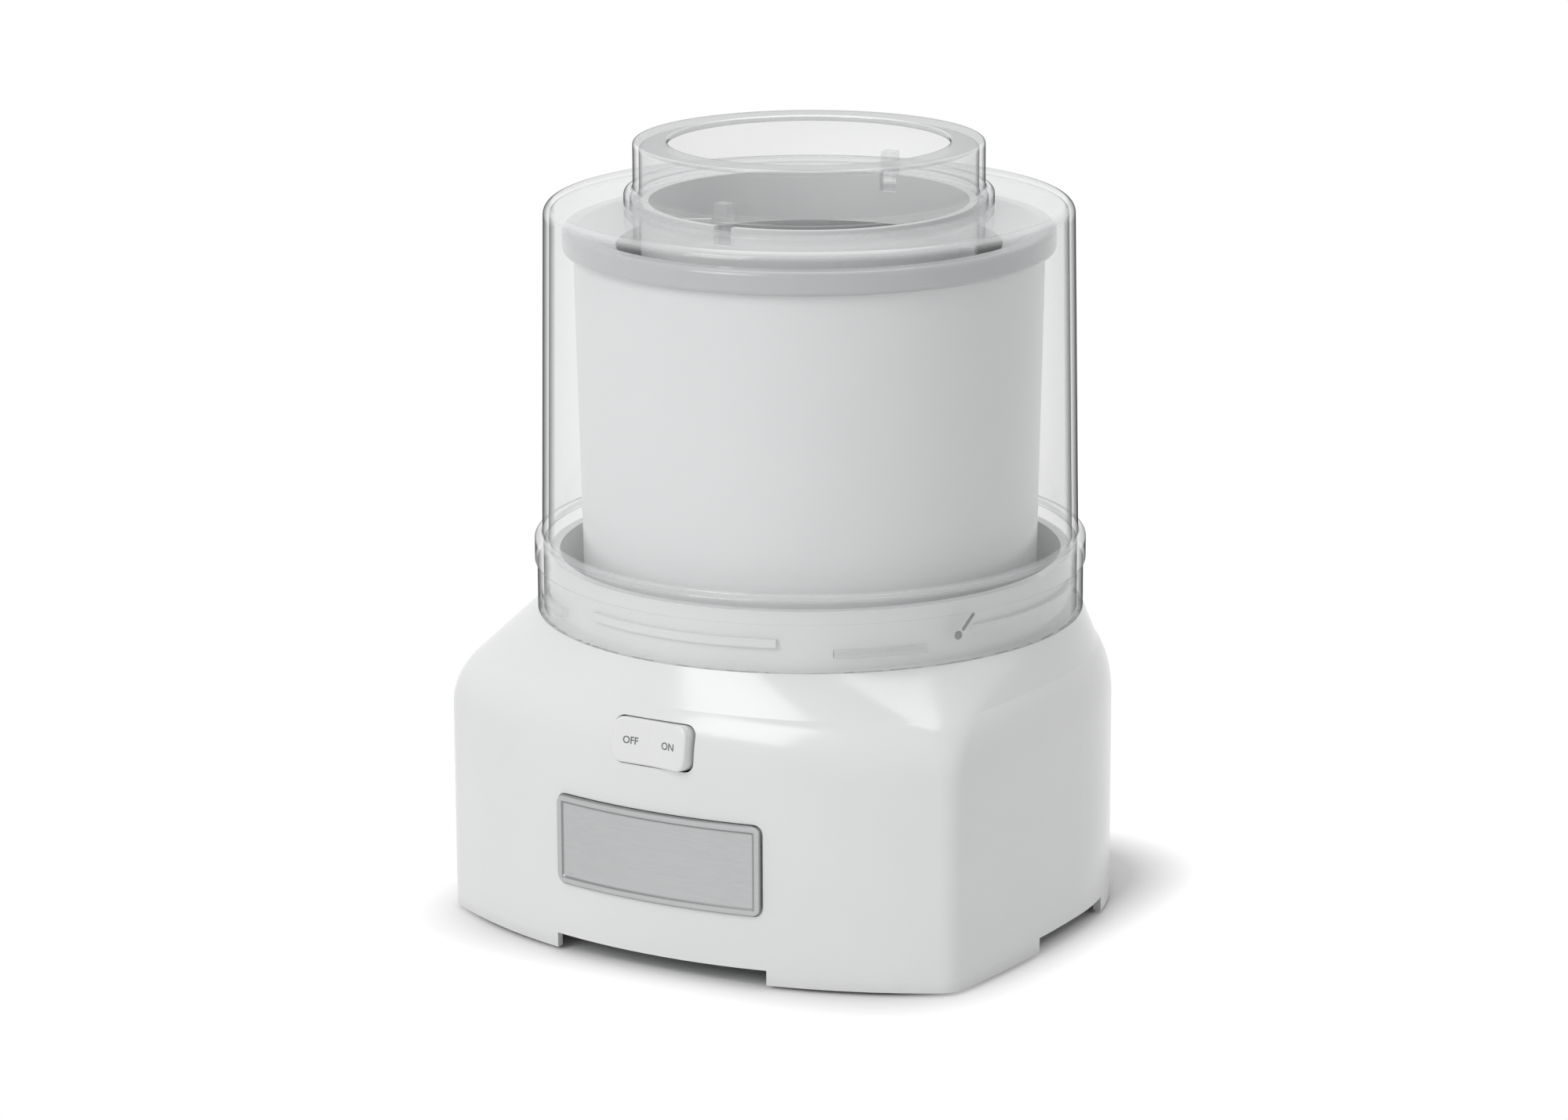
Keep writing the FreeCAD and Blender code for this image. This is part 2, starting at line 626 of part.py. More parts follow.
def housing_cuts():
    """Everything cut from the housing once its walls stand."""
    bush_hole = cylinder(BUSH_RADIUS + SAME_BODY_GAP, WELL_UNDER - 1, WELL_BOSS_TOP - SEAL_HEIGHT)
    seal_radius = SHAFT_RADIUS + SEAL_WALL + SAME_BODY_GAP
    seal_hole = cylinder(seal_radius, WELL_BOSS_TOP - SEAL_HEIGHT, WELL_BOSS_TOP + CUT_PAST)
    badge_low = HOUSING_LOW + BADGE_LOW - BADGE_GAP
    badge_top = HOUSING_LOW + BADGE_LOW + BADGE_HEIGHT + BADGE_GAP
    badge = rounded_sector(-BADGE_SINK - SAME_BODY_GAP, CUT_FAR, BADGE_HALF_WIDTH + BADGE_GAP,
                           badge_low, badge_top, BADGE_CORNER)
    switch = in_switch_frame(switch_block(ROCKER_SIDE_GAP, ROCKER_END_GAP, -SWITCH_PAD_DEPTH - CUT_PAST,
                                          CUT_FAR, ROCKER_CORNER))
    wall = SWITCH_BODY_WALL + SWITCH_SEAT_GAP
    cup = in_switch_frame(switch_block(ROCKER_SIDE_GAP + wall, ROCKER_END_GAP + wall, -SWITCH_PAD_DEPTH - 8,
                                       -SWITCH_PAD_DEPTH, ROCKER_CORNER))
    gland = gland_cylinder(GLAND_BODY_RADIUS + GLAND_GAP, BASE_REAR - CUT_FAR, BASE_REAR + CUT_FAR)
    seat = gland_cylinder(GLAND_FLANGE_RADIUS + GLAND_GAP, BASE_REAR - GLAND_FLANGE_SINK, BASE_REAR + CUT_FAR)
    post_top = PLATE_TOP + HOUSING_SCREW_GRIP + CUT_PAST
    post_holes = [cylinder(SCREW_RADIUS, PLATE_TOP - CUT_PAST, post_top, at) for at in POSTS]
    ear_holes = [cylinder(SCREW_RADIUS, COVER_TOP - 1, WELL_FLOOR - 1, at) for at in case_ears()]
    openings = [bush_hole, seal_hole, badge, switch, cup, gland, seat]
    return openings + post_holes + ear_holes


def corner_skirts():
    """The wall's four lowest stretches, which stand between the arches under the housing."""
    height = V(0, 0, NOTCH_TOP - HOUSING_LOW)
    outside = Part.Face(plan_wire(0, 0, HOUSING_LOW)).extrude(height)
    inside = Part.Face(plan_wire(0, HOUSING_WALL, HOUSING_LOW)).extrude(height)
    front_arch = block(-FRONT_NOTCH_HALF, FRONT_NOTCH_HALF, -FAR, FAR, HOUSING_LOW, NOTCH_TOP)
    side_arch = block(-FAR, FAR, -SIDE_NOTCH_HALF, SIDE_NOTCH_HALF, HOUSING_LOW, NOTCH_TOP)
    wall = outside.cut([inside, front_arch, side_arch])
    turns = [math.atan2(s.CenterOfMass.y, s.CenterOfMass.x) for s in wall.Solids]
    return [solid for turn, solid in sorted(zip(turns, wall.Solids), key=lambda pair: pair[0])]


# Trim and underside.

def name_plate():
    """Bare plate with a raised border, bent to the front wall."""
    low = HOUSING_LOW + BADGE_LOW
    high = low + BADGE_HEIGHT
    plate = rounded_sector(-BADGE_SINK, BADGE_PROUD, BADGE_HALF_WIDTH, low, high, BADGE_CORNER)
    border = BADGE_BORDER
    panel = rounded_sector(BADGE_PROUD - BADGE_PANEL_SINK, BADGE_PROUD + 5, BADGE_HALF_WIDTH - border,
                           low + border, high - border, BADGE_CORNER / 2)
    return plate.cut(panel)


def bottom_plate():
    face = Part.Face(plan_wire(0, HOUSING_WALL + PLATE_GAP, PLATE_LOW))
    plate = face.extrude(V(0, 0, PLATE_THICK))
    low, high = PLATE_LOW - CUT_PAST, PLATE_TOP + CUT_PAST
    holes = [cylinder(FOOT_PLUG_RADIUS + SAME_BODY_GAP, low, high, at) for at in FEET]
    holes += [cylinder(SCREW_RADIUS + SCREW_GAP, low, high, at) for at in POSTS]
    first = -VENT_PITCH * (VENT_COUNT - 1) / 2
    for i in range(VENT_COUNT):
        x = first + VENT_PITCH * i
        holes.append(rounded_block(x - VENT_WIDTH / 2, x + VENT_WIDTH / 2, VENT_Y - VENT_LENGTH / 2,
                                   VENT_Y + VENT_LENGTH / 2, low, high, VENT_WIDTH * 0.45))
    return plate.cut(holes).removeSplitter()


def rubber_foot(at):
    """Soft pad with a plug pushed up into the bottom plate."""
    pad = turned([(0, 0, 0), (FOOT_RADIUS, 0, FOOT_ROUND), (FOOT_RADIUS, PLATE_LOW, 0), (0, PLATE_LOW, 0)])
    pad.translate(V(at[0], at[1], 0))
    return fused([pad, cylinder(FOOT_PLUG_RADIUS, PLATE_LOW, PLATE_TOP, at)])


def housing_screws():
    return Part.makeCompound([screw_up(at, PLATE_LOW, PLATE_TOP + HOUSING_SCREW_GRIP) for at in POSTS])


def gland_cylinder(radius, start, end):
    height = HOUSING_LOW + GLAND_HEIGHT
    return Part.makeCylinder(radius, end - start, V(0, start, height), V(0, 1, 0))


def cord_gland():
    """Bush that lines the cord's hole in the back wall."""
    seat = BASE_REAR - GLAND_FLANGE_SINK
    flange = gland_cylinder(GLAND_FLANGE_RADIUS, seat, seat + GLAND_FLANGE_THICK)
    body = gland_cylinder(GLAND_BODY_RADIUS, BASE_REAR - GLAND_BODY_LENGTH, seat)
    bore = gland_cylinder(GLAND_BORE_RADIUS, BASE_REAR - 50, BASE_REAR + 50)
    return fused([flange, body]).cut(bore)


# Gear train.

def involute_gear(teeth, module, low, high, phase):
    """Spur gear about Z with a tooth centred on the phase bearing."""
    pitch = teeth * module / 2
    root = pitch - 1.25 * module
    tip = pitch + module
    base = pitch * math.cos(math.radians(PRESSURE_ANGLE))
    flank_low = max(base, root)

    def involute(radius):
        turn = math.acos(min(1.0, base / radius))
        return math.tan(turn) - turn
    half_pitch = math.pi / (2 * teeth) - BACKLASH / (2 * pitch)

    def half_angle(radius):
        return math.degrees(half_pitch + involute(pitch) - involute(radius))

    def at(radius, degrees):
        x, y = polar(radius, degrees)
        return V(x, y, low)
    edges = []
    step = 360 / teeth
    levels = (flank_low, (flank_low + tip) / 2, tip)
    for i in range(teeth):
        middle = phase + step * i
        rise = [at(r, middle - half_angle(r)) for r in levels]
        fall = [at(r, middle + half_angle(r)) for r in reversed(levels)]
        foot = half_angle(flank_low)
        start = at(root, middle - foot)
        end = at(root, middle + foot)
        following = at(root, middle + step - foot)
        if flank_low > root:
            edges.append(Part.LineSegment(start, rise[0]).toShape())
        edges.append(Part.Arc(*rise).toShape())
        edges.append(Part.Arc(rise[2], at(tip, middle), fall[0]).toShape())
        edges.append(Part.Arc(*fall).toShape())
        if flank_low > root:
            edges.append(Part.LineSegment(fall[2], end).toShape())
        edges.append(Part.Arc(end, at(root, middle + step / 2), following).toShape())
    return Part.Face(Part.Wire(edges)).extrude(V(0, 0, high - low))


def gap_phase(teeth, bearing):
    """Phase that puts a gap of a gear on a bearing."""
    return bearing + 180 / teeth


def web_holes(ring, low, high):
    places = [polar(ring, 360 * i / WEB_HOLE_COUNT) for i in range(WEB_HOLE_COUNT)]
    return [cylinder(WEB_HOLE_RADIUS, low, high, at) for at in places]


def output_gear():
    gear = involute_gear(SECOND_GEAR_TEETH, SECOND_MODULE, OUTPUT_GEAR_LOW, OUTPUT_GEAR_TOP, IDLER_BEARING)
    hub = cylinder(SHAFT_RADIUS + GEAR_HUB_WALL, OUTPUT_GEAR_LOW, OUTPUT_GEAR_TOP + GEAR_SIDE_GAP / 2)
    ring = (SHAFT_RADIUS + GEAR_HUB_WALL + SECOND_MODULE * SECOND_GEAR_TEETH / 2) / 2
    cuts = web_holes(ring, OUTPUT_GEAR_LOW - 1, OUTPUT_GEAR_TOP + 1)
    cuts.append(cylinder(SHAFT_RADIUS + SAME_BODY_GAP, OUTPUT_GEAR_LOW - 1, COVER_TOP))
    return gear.fuse(hub).cut(cuts)


def idler_gear():
    """Large gear and pinion in one moulding, on the idler axle."""
    # A gap of the pinion faces the output gear, and a tooth of the large gear faces the motor.
    pinion_phase = gap_phase(SECOND_PINION_TEETH, IDLER_BEARING + 180)
    large = involute_gear(FIRST_GEAR_TEETH, FIRST_MODULE, IDLER_GEAR_LOW, IDLER_GEAR_TOP, MOTOR_BEARING)
    small = involute_gear(SECOND_PINION_TEETH, SECOND_MODULE, IDLER_GEAR_TOP, OUTPUT_GEAR_TOP, pinion_phase)
    bore = cylinder(AXLE_RADIUS + SHAFT_RUN_GAP, IDLER_GEAR_LOW - 1, OUTPUT_GEAR_TOP + 1)
    gear = large.fuse(small).cut(bore)
    gear.translate(V(IDLER_AT[0], IDLER_AT[1], 0))
    return gear


def motor_pinion():
    phase = gap_phase(FIRST_PINION_TEETH, MOTOR_BEARING + 180)
    pinion = involute_gear(FIRST_PINION_TEETH, FIRST_MODULE, IDLER_GEAR_LOW, IDLER_GEAR_TOP + 1, phase)
    pinion = pinion.cut(cylinder(MOTOR_SHAFT_RADIUS + SAME_BODY_GAP, 0, IDLER_GEAR_TOP + 2))
    pinion.translate(V(MOTOR_AT[0], MOTOR_AT[1], 0))
    return pinion


def case_belt(grow):
    """The two circles of the gear case's plan, grown outwards."""
    output_room = SECOND_MODULE * (SECOND_GEAR_TEETH / 2 + 1) + CASE_ROOM
    idler_room = FIRST_MODULE * (FIRST_GEAR_TEETH / 2 + 1) + CASE_ROOM
    pinion_room = FIRST_MODULE * (FIRST_PINION_TEETH / 2 + 1) + CASE_ROOM
    # The second circle spans the idler and the motor pinion.
    reach = FIRST_CENTRES + pinion_room
    radius = (reach + idler_room) / 2
    centre = polar((reach - idler_room) / 2, MOTOR_BEARING, IDLER_AT)
    return (0.0, 0.0), output_room + grow, centre, radius + grow


def gear_case():
    """Tray under the gears with four screw ears."""
    tray = capsule(*case_belt(CASE_WALL), CASE_UNDER, COVER_LOW)
    ears = [cylinder(CASE_EAR_RADIUS, CASE_UNDER, COVER_LOW, at) for at in case_ears()]
    room = capsule(*case_belt(0), CASE_FLOOR, COVER_LOW + 1)
    bush_seat = cylinder(BUSH_RADIUS + BUSH_FLANGE, CASE_UNDER, CASE_FLOOR + 2)
    axle_seat = cylinder(AXLE_RADIUS + 2.5, CASE_UNDER, CASE_FLOOR + 1, IDLER_AT)
    case = tray.fuse(ears).cut(room).fuse([bush_seat, axle_seat])
    holes = [cylinder(SCREW_RADIUS + SCREW_GAP, CASE_UNDER - 1, COVER_LOW + 1, at) for at in case_ears()]
    holes.append(cylinder(BUSH_RADIUS + SAME_BODY_GAP, CASE_UNDER - 1, CASE_FLOOR + 5))
    holes.append(cylinder(AXLE_RADIUS + SAME_BODY_GAP, CASE_UNDER - 1, CASE_FLOOR + 5, IDLER_AT))
    holes.append(cylinder(MOTOR_BUSH_RADIUS + 1, CASE_UNDER - 1, CASE_FLOOR + 5, MOTOR_AT))
    holes += [cylinder(SCREW_RADIUS + SCREW_GAP, CASE_UNDER - 1, CASE_FLOOR + 5, at) for at in motor_bolts()]
    return case.cut(holes).removeSplitter()


def gear_cover():
    """Flat lid of the gear case, between the case and the well floor."""
    plate = capsule(*case_belt(CASE_WALL), COVER_LOW, COVER_TOP)
    ears = [cylinder(CASE_EAR_RADIUS, COVER_LOW, COVER_TOP, at) for at in case_ears()]
    holes = [cylinder(SCREW_RADIUS + SCREW_GAP, COVER_LOW - 1, COVER_TOP + 1, at) for at in case_ears()]
    holes.append(cylinder(SHAFT_RADIUS + 1, COVER_LOW - 1, COVER_TOP + 1))
    holes.append(cylinder(AXLE_RADIUS + SAME_BODY_GAP, COVER_LOW - 1, COVER_TOP + 1, IDLER_AT))
    return plate.fuse(ears).cut(holes).removeSplitter()


def gear_case_screws():
    return Part.makeCompound([screw_up(at, CASE_UNDER, WELL_FLOOR - 2) for at in case_ears()])


def idler_axle():
    return cylinder(AXLE_RADIUS, CASE_UNDER, COVER_TOP, IDLER_AT)


# Output shaft and what it turns in and drives.

def flanged_bush(low, high, flange_low):
    """Plain bearing with a flange at its lower end."""
    sleeve = tube(BUSH_RADIUS, SHAFT_RADIUS + SHAFT_RUN_GAP, low, high)
    flange_top = flange_low + BUSH_FLANGE_THICK
    flange = tube(BUSH_RADIUS + BUSH_FLANGE, SHAFT_RADIUS + SHAFT_RUN_GAP, flange_low, flange_top)
    return sleeve.fuse(flange).removeSplitter()


def lower_shaft_bush():
    low = CASE_UNDER - BUSH_FLANGE_THICK
    return flanged_bush(low, low + BUSH_LENGTH, low)


def upper_shaft_bush():
    low = WELL_UNDER - BUSH_FLANGE_THICK
    return flanged_bush(low, WELL_BOSS_TOP - SEAL_HEIGHT, low)


def shaft_seal():
    """Rubber ring that keeps melted mix out of the gear case."""
    low = WELL_BOSS_TOP - SEAL_HEIGHT
    return tube(SHAFT_RADIUS + SEAL_WALL, SHAFT_RADIUS + SHAFT_RUN_GAP, low, WELL_BOSS_TOP)


def shaft_low():
    return CASE_UNDER - BUSH_FLANGE_THICK - 2 * CLIP_THICK


def output_shaft():
    """Steel shaft, grooved for its clip, with two flats at the hub."""
    shaft = cylinder(SHAFT_RADIUS, shaft_low(), HUB_TOP - 2)
    groove_low = CASE_UNDER - BUSH_FLANGE_THICK - CLIP_THICK - SHAFT_RUN_GAP
    groove = tube(SHAFT_RADIUS + 1, SHAFT_RADIUS - CLIP_GROOVE, groove_low, groove_low + CLIP_THICK)
    return shaft.cut([groove, shaft_flats(0)])


def shaft_flats(gap):
    """What the two flats take off the shaft inside the hub."""
    half = SHAFT_RADIUS * 0.8 + gap
    far = SHAFT_RADIUS + 5
    return block(half, far, -far, far, HUB_LOW, HUB_TOP).fuse(block(-far, -half, -far, far, HUB_LOW, HUB_TOP))


def retaining_clip():
    """Spring clip in the shaft's groove under the lower bush."""
    low = CASE_UNDER - BUSH_FLANGE_THICK - CLIP_THICK - SHAFT_RUN_GAP
    inner = SHAFT_RADIUS - CLIP_GROOVE + SAME_BODY_GAP
    ring = tube(SHAFT_RADIUS + CLIP_WALL, inner, low, low + CLIP_THICK)
    mouth = block(0, SHAFT_RADIUS + CLIP_WALL + 1, -inner * 0.7, inner * 0.7, low - 1, low + CLIP_THICK + 1)
    return ring.cut(mouth)


def hub_form(gap, low, high):
    """Round core with drive lugs, grown by a gap for the socket that fits it."""
    core = cylinder(HUB_RADIUS + gap, low, high)
    half = HUB_LUG_WIDTH / 2 + gap
    lugs = []
    for i in range(HUB_LUG_COUNT):
        lug = block(0, HUB_LUG_RADIUS + gap, -half, half, low, high)
        lug.rotate(V(0, 0, 0), Z_AXIS, 360 * i / HUB_LUG_COUNT)
        lugs.append(lug)
    return fused([core] + lugs)


def drive_hub():
    """Lugged hub in the well that the bowl sits on."""
    hub = hub_form(0, HUB_LOW, HUB_TOP)
    bore = cylinder(SHAFT_RADIUS + SAME_BODY_GAP, HUB_LOW - 1, HUB_TOP - 2 + SAME_BODY_GAP)
    return hub.cut(bore.cut(shaft_flats(SAME_BODY_GAP)))


# Motor, drawn about its own shaft and then set in place.

def at_motor(shape):
    placed = shape.copy()
    placed.translate(V(MOTOR_AT[0], MOTOR_AT[1], 0))
    return placed


def motor_bolts():
    return [(MOTOR_AT[0] + side * BRACKET_BOLT_X, MOTOR_AT[1]) for side in (-1, 1)]


def limb_span():
    """Start and end of the coil's limb, in front of the rotor."""
    start = WINDOW_START + WINDOW_DEPTH
    return -(start + LIMB_DEPTH), -start


def motor_stator():
    """Stack of laminations with the rotor's bore and the coil's window."""
    far, near = limb_span()
    stack = rounded_block(-STACK_HALF_WIDTH, STACK_HALF_WIDTH, far, STACK_BACK, STACK_LOW, STACK_TOP, 3.0)
    window = block(-WINDOW_HALF, WINDOW_HALF, near, -WINDOW_START, STACK_LOW - 1, STACK_TOP + 1)
    bore = cylinder(BORE_RADIUS, STACK_LOW - 1, STACK_TOP + 1)
    bolts = [cylinder(SCREW_RADIUS + SCREW_GAP, STACK_LOW - 1, STACK_TOP + 1, (side * BRACKET_BOLT_X, 0))
             for side in (-1, 1)]
    return at_motor(stack.cut([window, bore] + bolts))


def motor_coil():
    """Wound bobbin on the limb of the stack."""
    far, near = limb_span()
    half = WINDOW_HALF - COIL_GAP
    inner = (far - COIL_GAP, near + COIL_GAP, STACK_LOW - COIL_GAP, STACK_TOP + COIL_GAP)
    build = COIL_BUILD

    def sleeve(x0, x1, grow):
        return block(x0, x1, inner[0] - grow, inner[1] + grow, inner[2] - grow, inner[3] + grow)
    winding = sleeve(-half, half, build - 1.5)
    flanges = [sleeve(-half, -half + COIL_FLANGE, build), sleeve(half - COIL_FLANGE, half, build)]
    coil = winding.fuse(flanges).cut(sleeve(-half - 1, half + 1, 0))
    return at_motor(coil.removeSplitter())


def bracket(plate_low, leg_low, leg_high):
    """Bridge over one end of the stack with a bearing seat and two bolt legs."""
    half = BRACKET_HALF_WIDTH
    reach = BRACKET_BOLT_X
    strap = capsule((-reach, 0), half, (reach, 0), half, plate_low, plate_low + BRACKET_THICK)
    legs = [cylinder(SCREW_RADIUS + 2.5, leg_low, leg_high, (side * reach, 0)) for side in (-1, 1)]
    sides = [(-reach, 0), (reach, 0)]
    bolts = [cylinder(SCREW_RADIUS + SCREW_GAP, leg_low - CUT_FAR, leg_high + CUT_FAR, at) for at in sides]
    bearing = cylinder(MOTOR_BUSH_RADIUS + SAME_BODY_GAP, plate_low - 5, plate_low + BRACKET_THICK + 5)
    return at_motor(strap.fuse(legs).cut(bolts + [bearing]).removeSplitter())


def upper_motor_bracket():
    return bracket(CASE_UNDER - BRACKET_THICK, STACK_TOP, CASE_UNDER - BRACKET_THICK)


def lower_motor_bracket():
    return bracket(LOWER_BRACKET_LOW, LOWER_BRACKET_LOW + BRACKET_THICK, STACK_LOW)


def motor_bush(plate_low):
    """Oil-soaked bush pressed through a bracket."""
    middle = plate_low + BRACKET_THICK / 2
    low = middle - MOTOR_BUSH_LENGTH / 2
    return at_motor(tube(MOTOR_BUSH_RADIUS, MOTOR_SHAFT_RADIUS + SHAFT_RUN_GAP, low, low + MOTOR_BUSH_LENGTH))


def motor_screws():
    return Part.makeCompound([screw_up(at, LOWER_BRACKET_LOW, CASE_FLOOR) for at in motor_bolts()])


def motor_rotor():
    """Cage rotor with end rings and a clear bore for its shaft."""
    radius = BORE_RADIUS - AIR_GAP
    core = cylinder(radius, STACK_LOW, STACK_TOP)
    ends = [cylinder(radius - ROTOR_RING, STACK_LOW - ROTOR_RING, STACK_LOW),
            cylinder(radius - ROTOR_RING, STACK_TOP, STACK_TOP + ROTOR_RING)]
    bore = cylinder(MOTOR_SHAFT_RADIUS + SAME_BODY_GAP, STACK_LOW - 5, STACK_TOP + 5)
    return at_motor(fused([core] + ends).cut(bore))


def motor_shaft():
    return at_motor(cylinder(MOTOR_SHAFT_RADIUS, FAN_LOW, IDLER_GEAR_TOP + 1))


def cooling_fan():
    """Radial fan on the lower end of the motor shaft."""
    hub = cylinder(FAN_HUB_RADIUS, FAN_LOW, FAN_TOP)
    disc = cylinder(FAN_RADIUS, FAN_TOP - FAN_BLADE_THICK, FAN_TOP)
    blades = []
    for i in range(FAN_BLADES):
        half = FAN_BLADE_THICK / 2
        blade = block(FAN_HUB_RADIUS - CUT_PAST, FAN_RADIUS - half, -half, half, FAN_LOW, FAN_TOP)
        blade.rotate(V(0, 0, 0), Z_AXIS, 360 * i / FAN_BLADES)
        blades.append(blade)
    bore = cylinder(MOTOR_SHAFT_RADIUS + SAME_BODY_GAP, FAN_LOW - 1, FAN_TOP + 1)
    return at_motor(fused([hub, disc] + blades).cut(bore))


# Freezer bowl.

def shell_radius(height):
    """Outside radius of the bowl at a height."""
    share = (height - BOWL_LOW) / (RIM_LOW - BOWL_LOW)
    return BOWL_BASE_RADIUS + (BOWL_TOP_RADIUS - BOWL_BASE_RADIUS) * share


def liner_radius(height):
    """Inside radius of the bowl at a height."""
    share = (height - LINER_FLOOR) / (BOWL_TOP - LINER_FLOOR)
    return LINER_BASE_RADIUS + (LINER_TOP_RADIUS - LINER_BASE_RADIUS) * share


SOCKET_RADIUS = HUB_LUG_RADIUS + HUB_GAP + SOCKET_WALL
SHELL_FLOOR = BOWL_LOW + BOWL_WALL
SOCKET_TOP = HUB_TOP + SOCKET_WALL
LINER_UNDER = LINER_FLOOR - LINER_WALL


def bowl_shell():
    """Outer wall of the bowl, with the drive socket in its floor."""
    wall = BOWL_WALL
    shell = turned([
        (0, BOWL_LOW, 0),
        (BOWL_BASE_RADIUS, BOWL_LOW, BOWL_FOOT_ROUND),
        (BOWL_TOP_RADIUS, RIM_LOW, 0),
        (BOWL_TOP_RADIUS - wall, RIM_LOW, 0),
        (BOWL_BASE_RADIUS - wall, SHELL_FLOOR, BOWL_FOOT_ROUND - wall),
        (SOCKET_RADIUS, SHELL_FLOOR, 0),
        (SOCKET_RADIUS, SOCKET_TOP, 2.0),
        (0, SOCKET_TOP, 0),
    ])
    return shell.cut(hub_form(HUB_GAP, BOWL_LOW - 1, HUB_TOP))


def bowl_liner():
    """Metal inner bowl with a flange that hangs it in the rim."""
    wall = LINER_WALL
    top = RIM_LOW
    inside = liner_radius(top)
    return turned([
        (0, LINER_UNDER, 0),
        (LINER_BASE_RADIUS + wall, LINER_UNDER, LINER_ROUND + wall),
        (inside + wall, top - wall, 0),
        (inside + wall + LINER_FLANGE, top - wall, 0),
        (inside + wall + LINER_FLANGE, top, 0),
        (inside, top, 0),
        (LINER_BASE_RADIUS, LINER_FLOOR, LINER_ROUND),
        (0, LINER_FLOOR, 0),
    ])


def bowl_rim_ring():
    """Smooth ring that caps the wall and slopes down to the liner."""
    return turned([
        (liner_radius(RIM_LOW), RIM_LOW, 0),
        (RIM_RADIUS, RIM_LOW, RIM_ROUND),
        (RIM_RADIUS, BOWL_TOP, RIM_ROUND),
        (RIM_RADIUS - 2 * RIM_ROUND - RIM_TOP_WIDTH, BOWL_TOP, RIM_ROUND),
        (liner_radius(RIM_LOW), RIM_LOW + RIM_ROUND, 0),
    ])


def cooling_gel():
    """Freezing gel sealed between the shell and the liner."""
    gap = GEL_GAP
    wall = BOWL_WALL + gap
    top = RIM_LOW - LINER_WALL - gap
    low = SHELL_FLOOR + gap
    outside = LINER_WALL + gap
    return turned([
        (SOCKET_RADIUS + gap, low, 0),
        (shell_radius(low) - wall, low, BOWL_FOOT_ROUND - BOWL_WALL),
        (shell_radius(top) - wall, top, 0),
        (liner_radius(top) + outside, top, 0),
        (LINER_BASE_RADIUS + outside, LINER_UNDER - gap, LINER_ROUND + LINER_WALL),
        (0, LINER_UNDER - gap, 0),
        (0, SOCKET_TOP + gap, 0),
        (SOCKET_RADIUS + gap, SOCKET_TOP + gap, 0),
    ])


# Mixing paddle.

def paddle_blade(bearing, low, high):
    """Upright scraper blade with a window, twisted from the radial, its edge close to the liner."""
    reach = liner_radius(low) - PADDLE_WALL_GAP - BLADE_THICK / 2
    half = BLADE_WIDTH / 2
    thick = BLADE_THICK / 2
    blade = rounded_block(-half, half, -thick, thick, low, high, thick * 0.9)
    margin = BLADE_WINDOW_MARGIN
    open_half = BLADE_WINDOW_WIDTH / 2
    window = block(-open_half, open_half, -BLADE_THICK, BLADE_THICK, low + margin, high - margin)
    blade = blade.cut(window)
    blade.rotate(V(0, 0, 0), Z_AXIS, BLADE_TWIST)
    twist = math.radians(BLADE_TWIST)
    out = math.sqrt(reach ** 2 - (half * math.sin(twist)) ** 2) - half * math.cos(twist)
    blade.translate(V(out, 0, 0))
    blade.rotate(V(0, 0, 0), Z_AXIS, bearing)
    return blade


def mixing_paddle():
    """Still paddle: a ring under the chimney, two blades and a cross arm."""
    low = LINER_FLOOR + PADDLE_FLOOR_GAP
    ring_top = BOWL_TOP + PADDLE_RING_TOP
    ring_low = ring_top - PADDLE_RING_HEIGHT
    ring = tube(PADDLE_RING_RADIUS, PADDLE_RING_RADIUS - PADDLE_RING_WALL, ring_low, ring_top)
    blade_low = low + LINER_ROUND * 0.5
    blades = [paddle_blade(bearing, blade_low, ring_low + PADDLE_RING_HEIGHT / 3) for bearing in (0, 180)]
    reach = LINER_BASE_RADIUS - LINER_ROUND - PADDLE_WALL_GAP
    half = CROSS_ARM_THICK / 2
    arm = block(-reach, reach, -half, half, low, low + CROSS_ARM_HEIGHT)
    boss = cylinder(PADDLE_BOSS_RADIUS, low, low + CROSS_ARM_HEIGHT + 2)
    paddle = fused([ring, arm, boss] + blades)
    return paddle.cut(key_blocks(KEY_GAP, ring_top + 1)).removeSplitter()


def key_blocks(gap, high):
    """Keys between the lid and the paddle's ring, on the front and the back."""
    low = BOWL_TOP + PADDLE_RING_TOP - KEY_DEPTH - gap
    half = KEY_WIDTH / 2 + gap
    outer = CHIMNEY_RADIUS - LID_WALL / 2
    inner = CHIMNEY_RADIUS - LID_WALL - KEY_REACH - gap
    return [block(-half, half, side * inner, side * outer, low, high) if side > 0
            else block(-half, half, side * outer, side * inner, low, high) for side in (-1, 1)]


# Clear lid.

def lid():
    """Clear wall of the lid: skirt, band, tall wall and flat shoulder."""
    wall = LID_WALL
    neck = CHIMNEY_COVE_RADIUS - wall
    body = turned([
        (SKIRT_RADIUS, LID_LOW, 0),
        (SKIRT_RADIUS, LID_BAND_LOW, 0),
        (LID_BAND_RADIUS, LID_BAND_LOW, 0.6),
        (LID_BAND_RADIUS, LID_BAND_TOP, 1.5),
        (LID_FOOT_RADIUS, LID_BAND_TOP, 1.0),
        (LID_SHOULDER_RADIUS, LID_SHOULDER, LID_CORNER),
        (neck, LID_SHOULDER, 0),
        (neck, LID_SHOULDER - wall, 1.0),
        (LID_SHOULDER_RADIUS - wall, LID_SHOULDER - wall, LID_CORNER - wall),
        (LID_FOOT_RADIUS - wall, LID_BAND_TOP - wall, 1.0),
        (SKIRT_RADIUS - wall, LID_BAND_TOP - wall, 1.0),
        (SKIRT_RADIUS - wall, LID_LOW, 0),
    ])
    return body.fuse(lock_tabs()).removeSplitter()


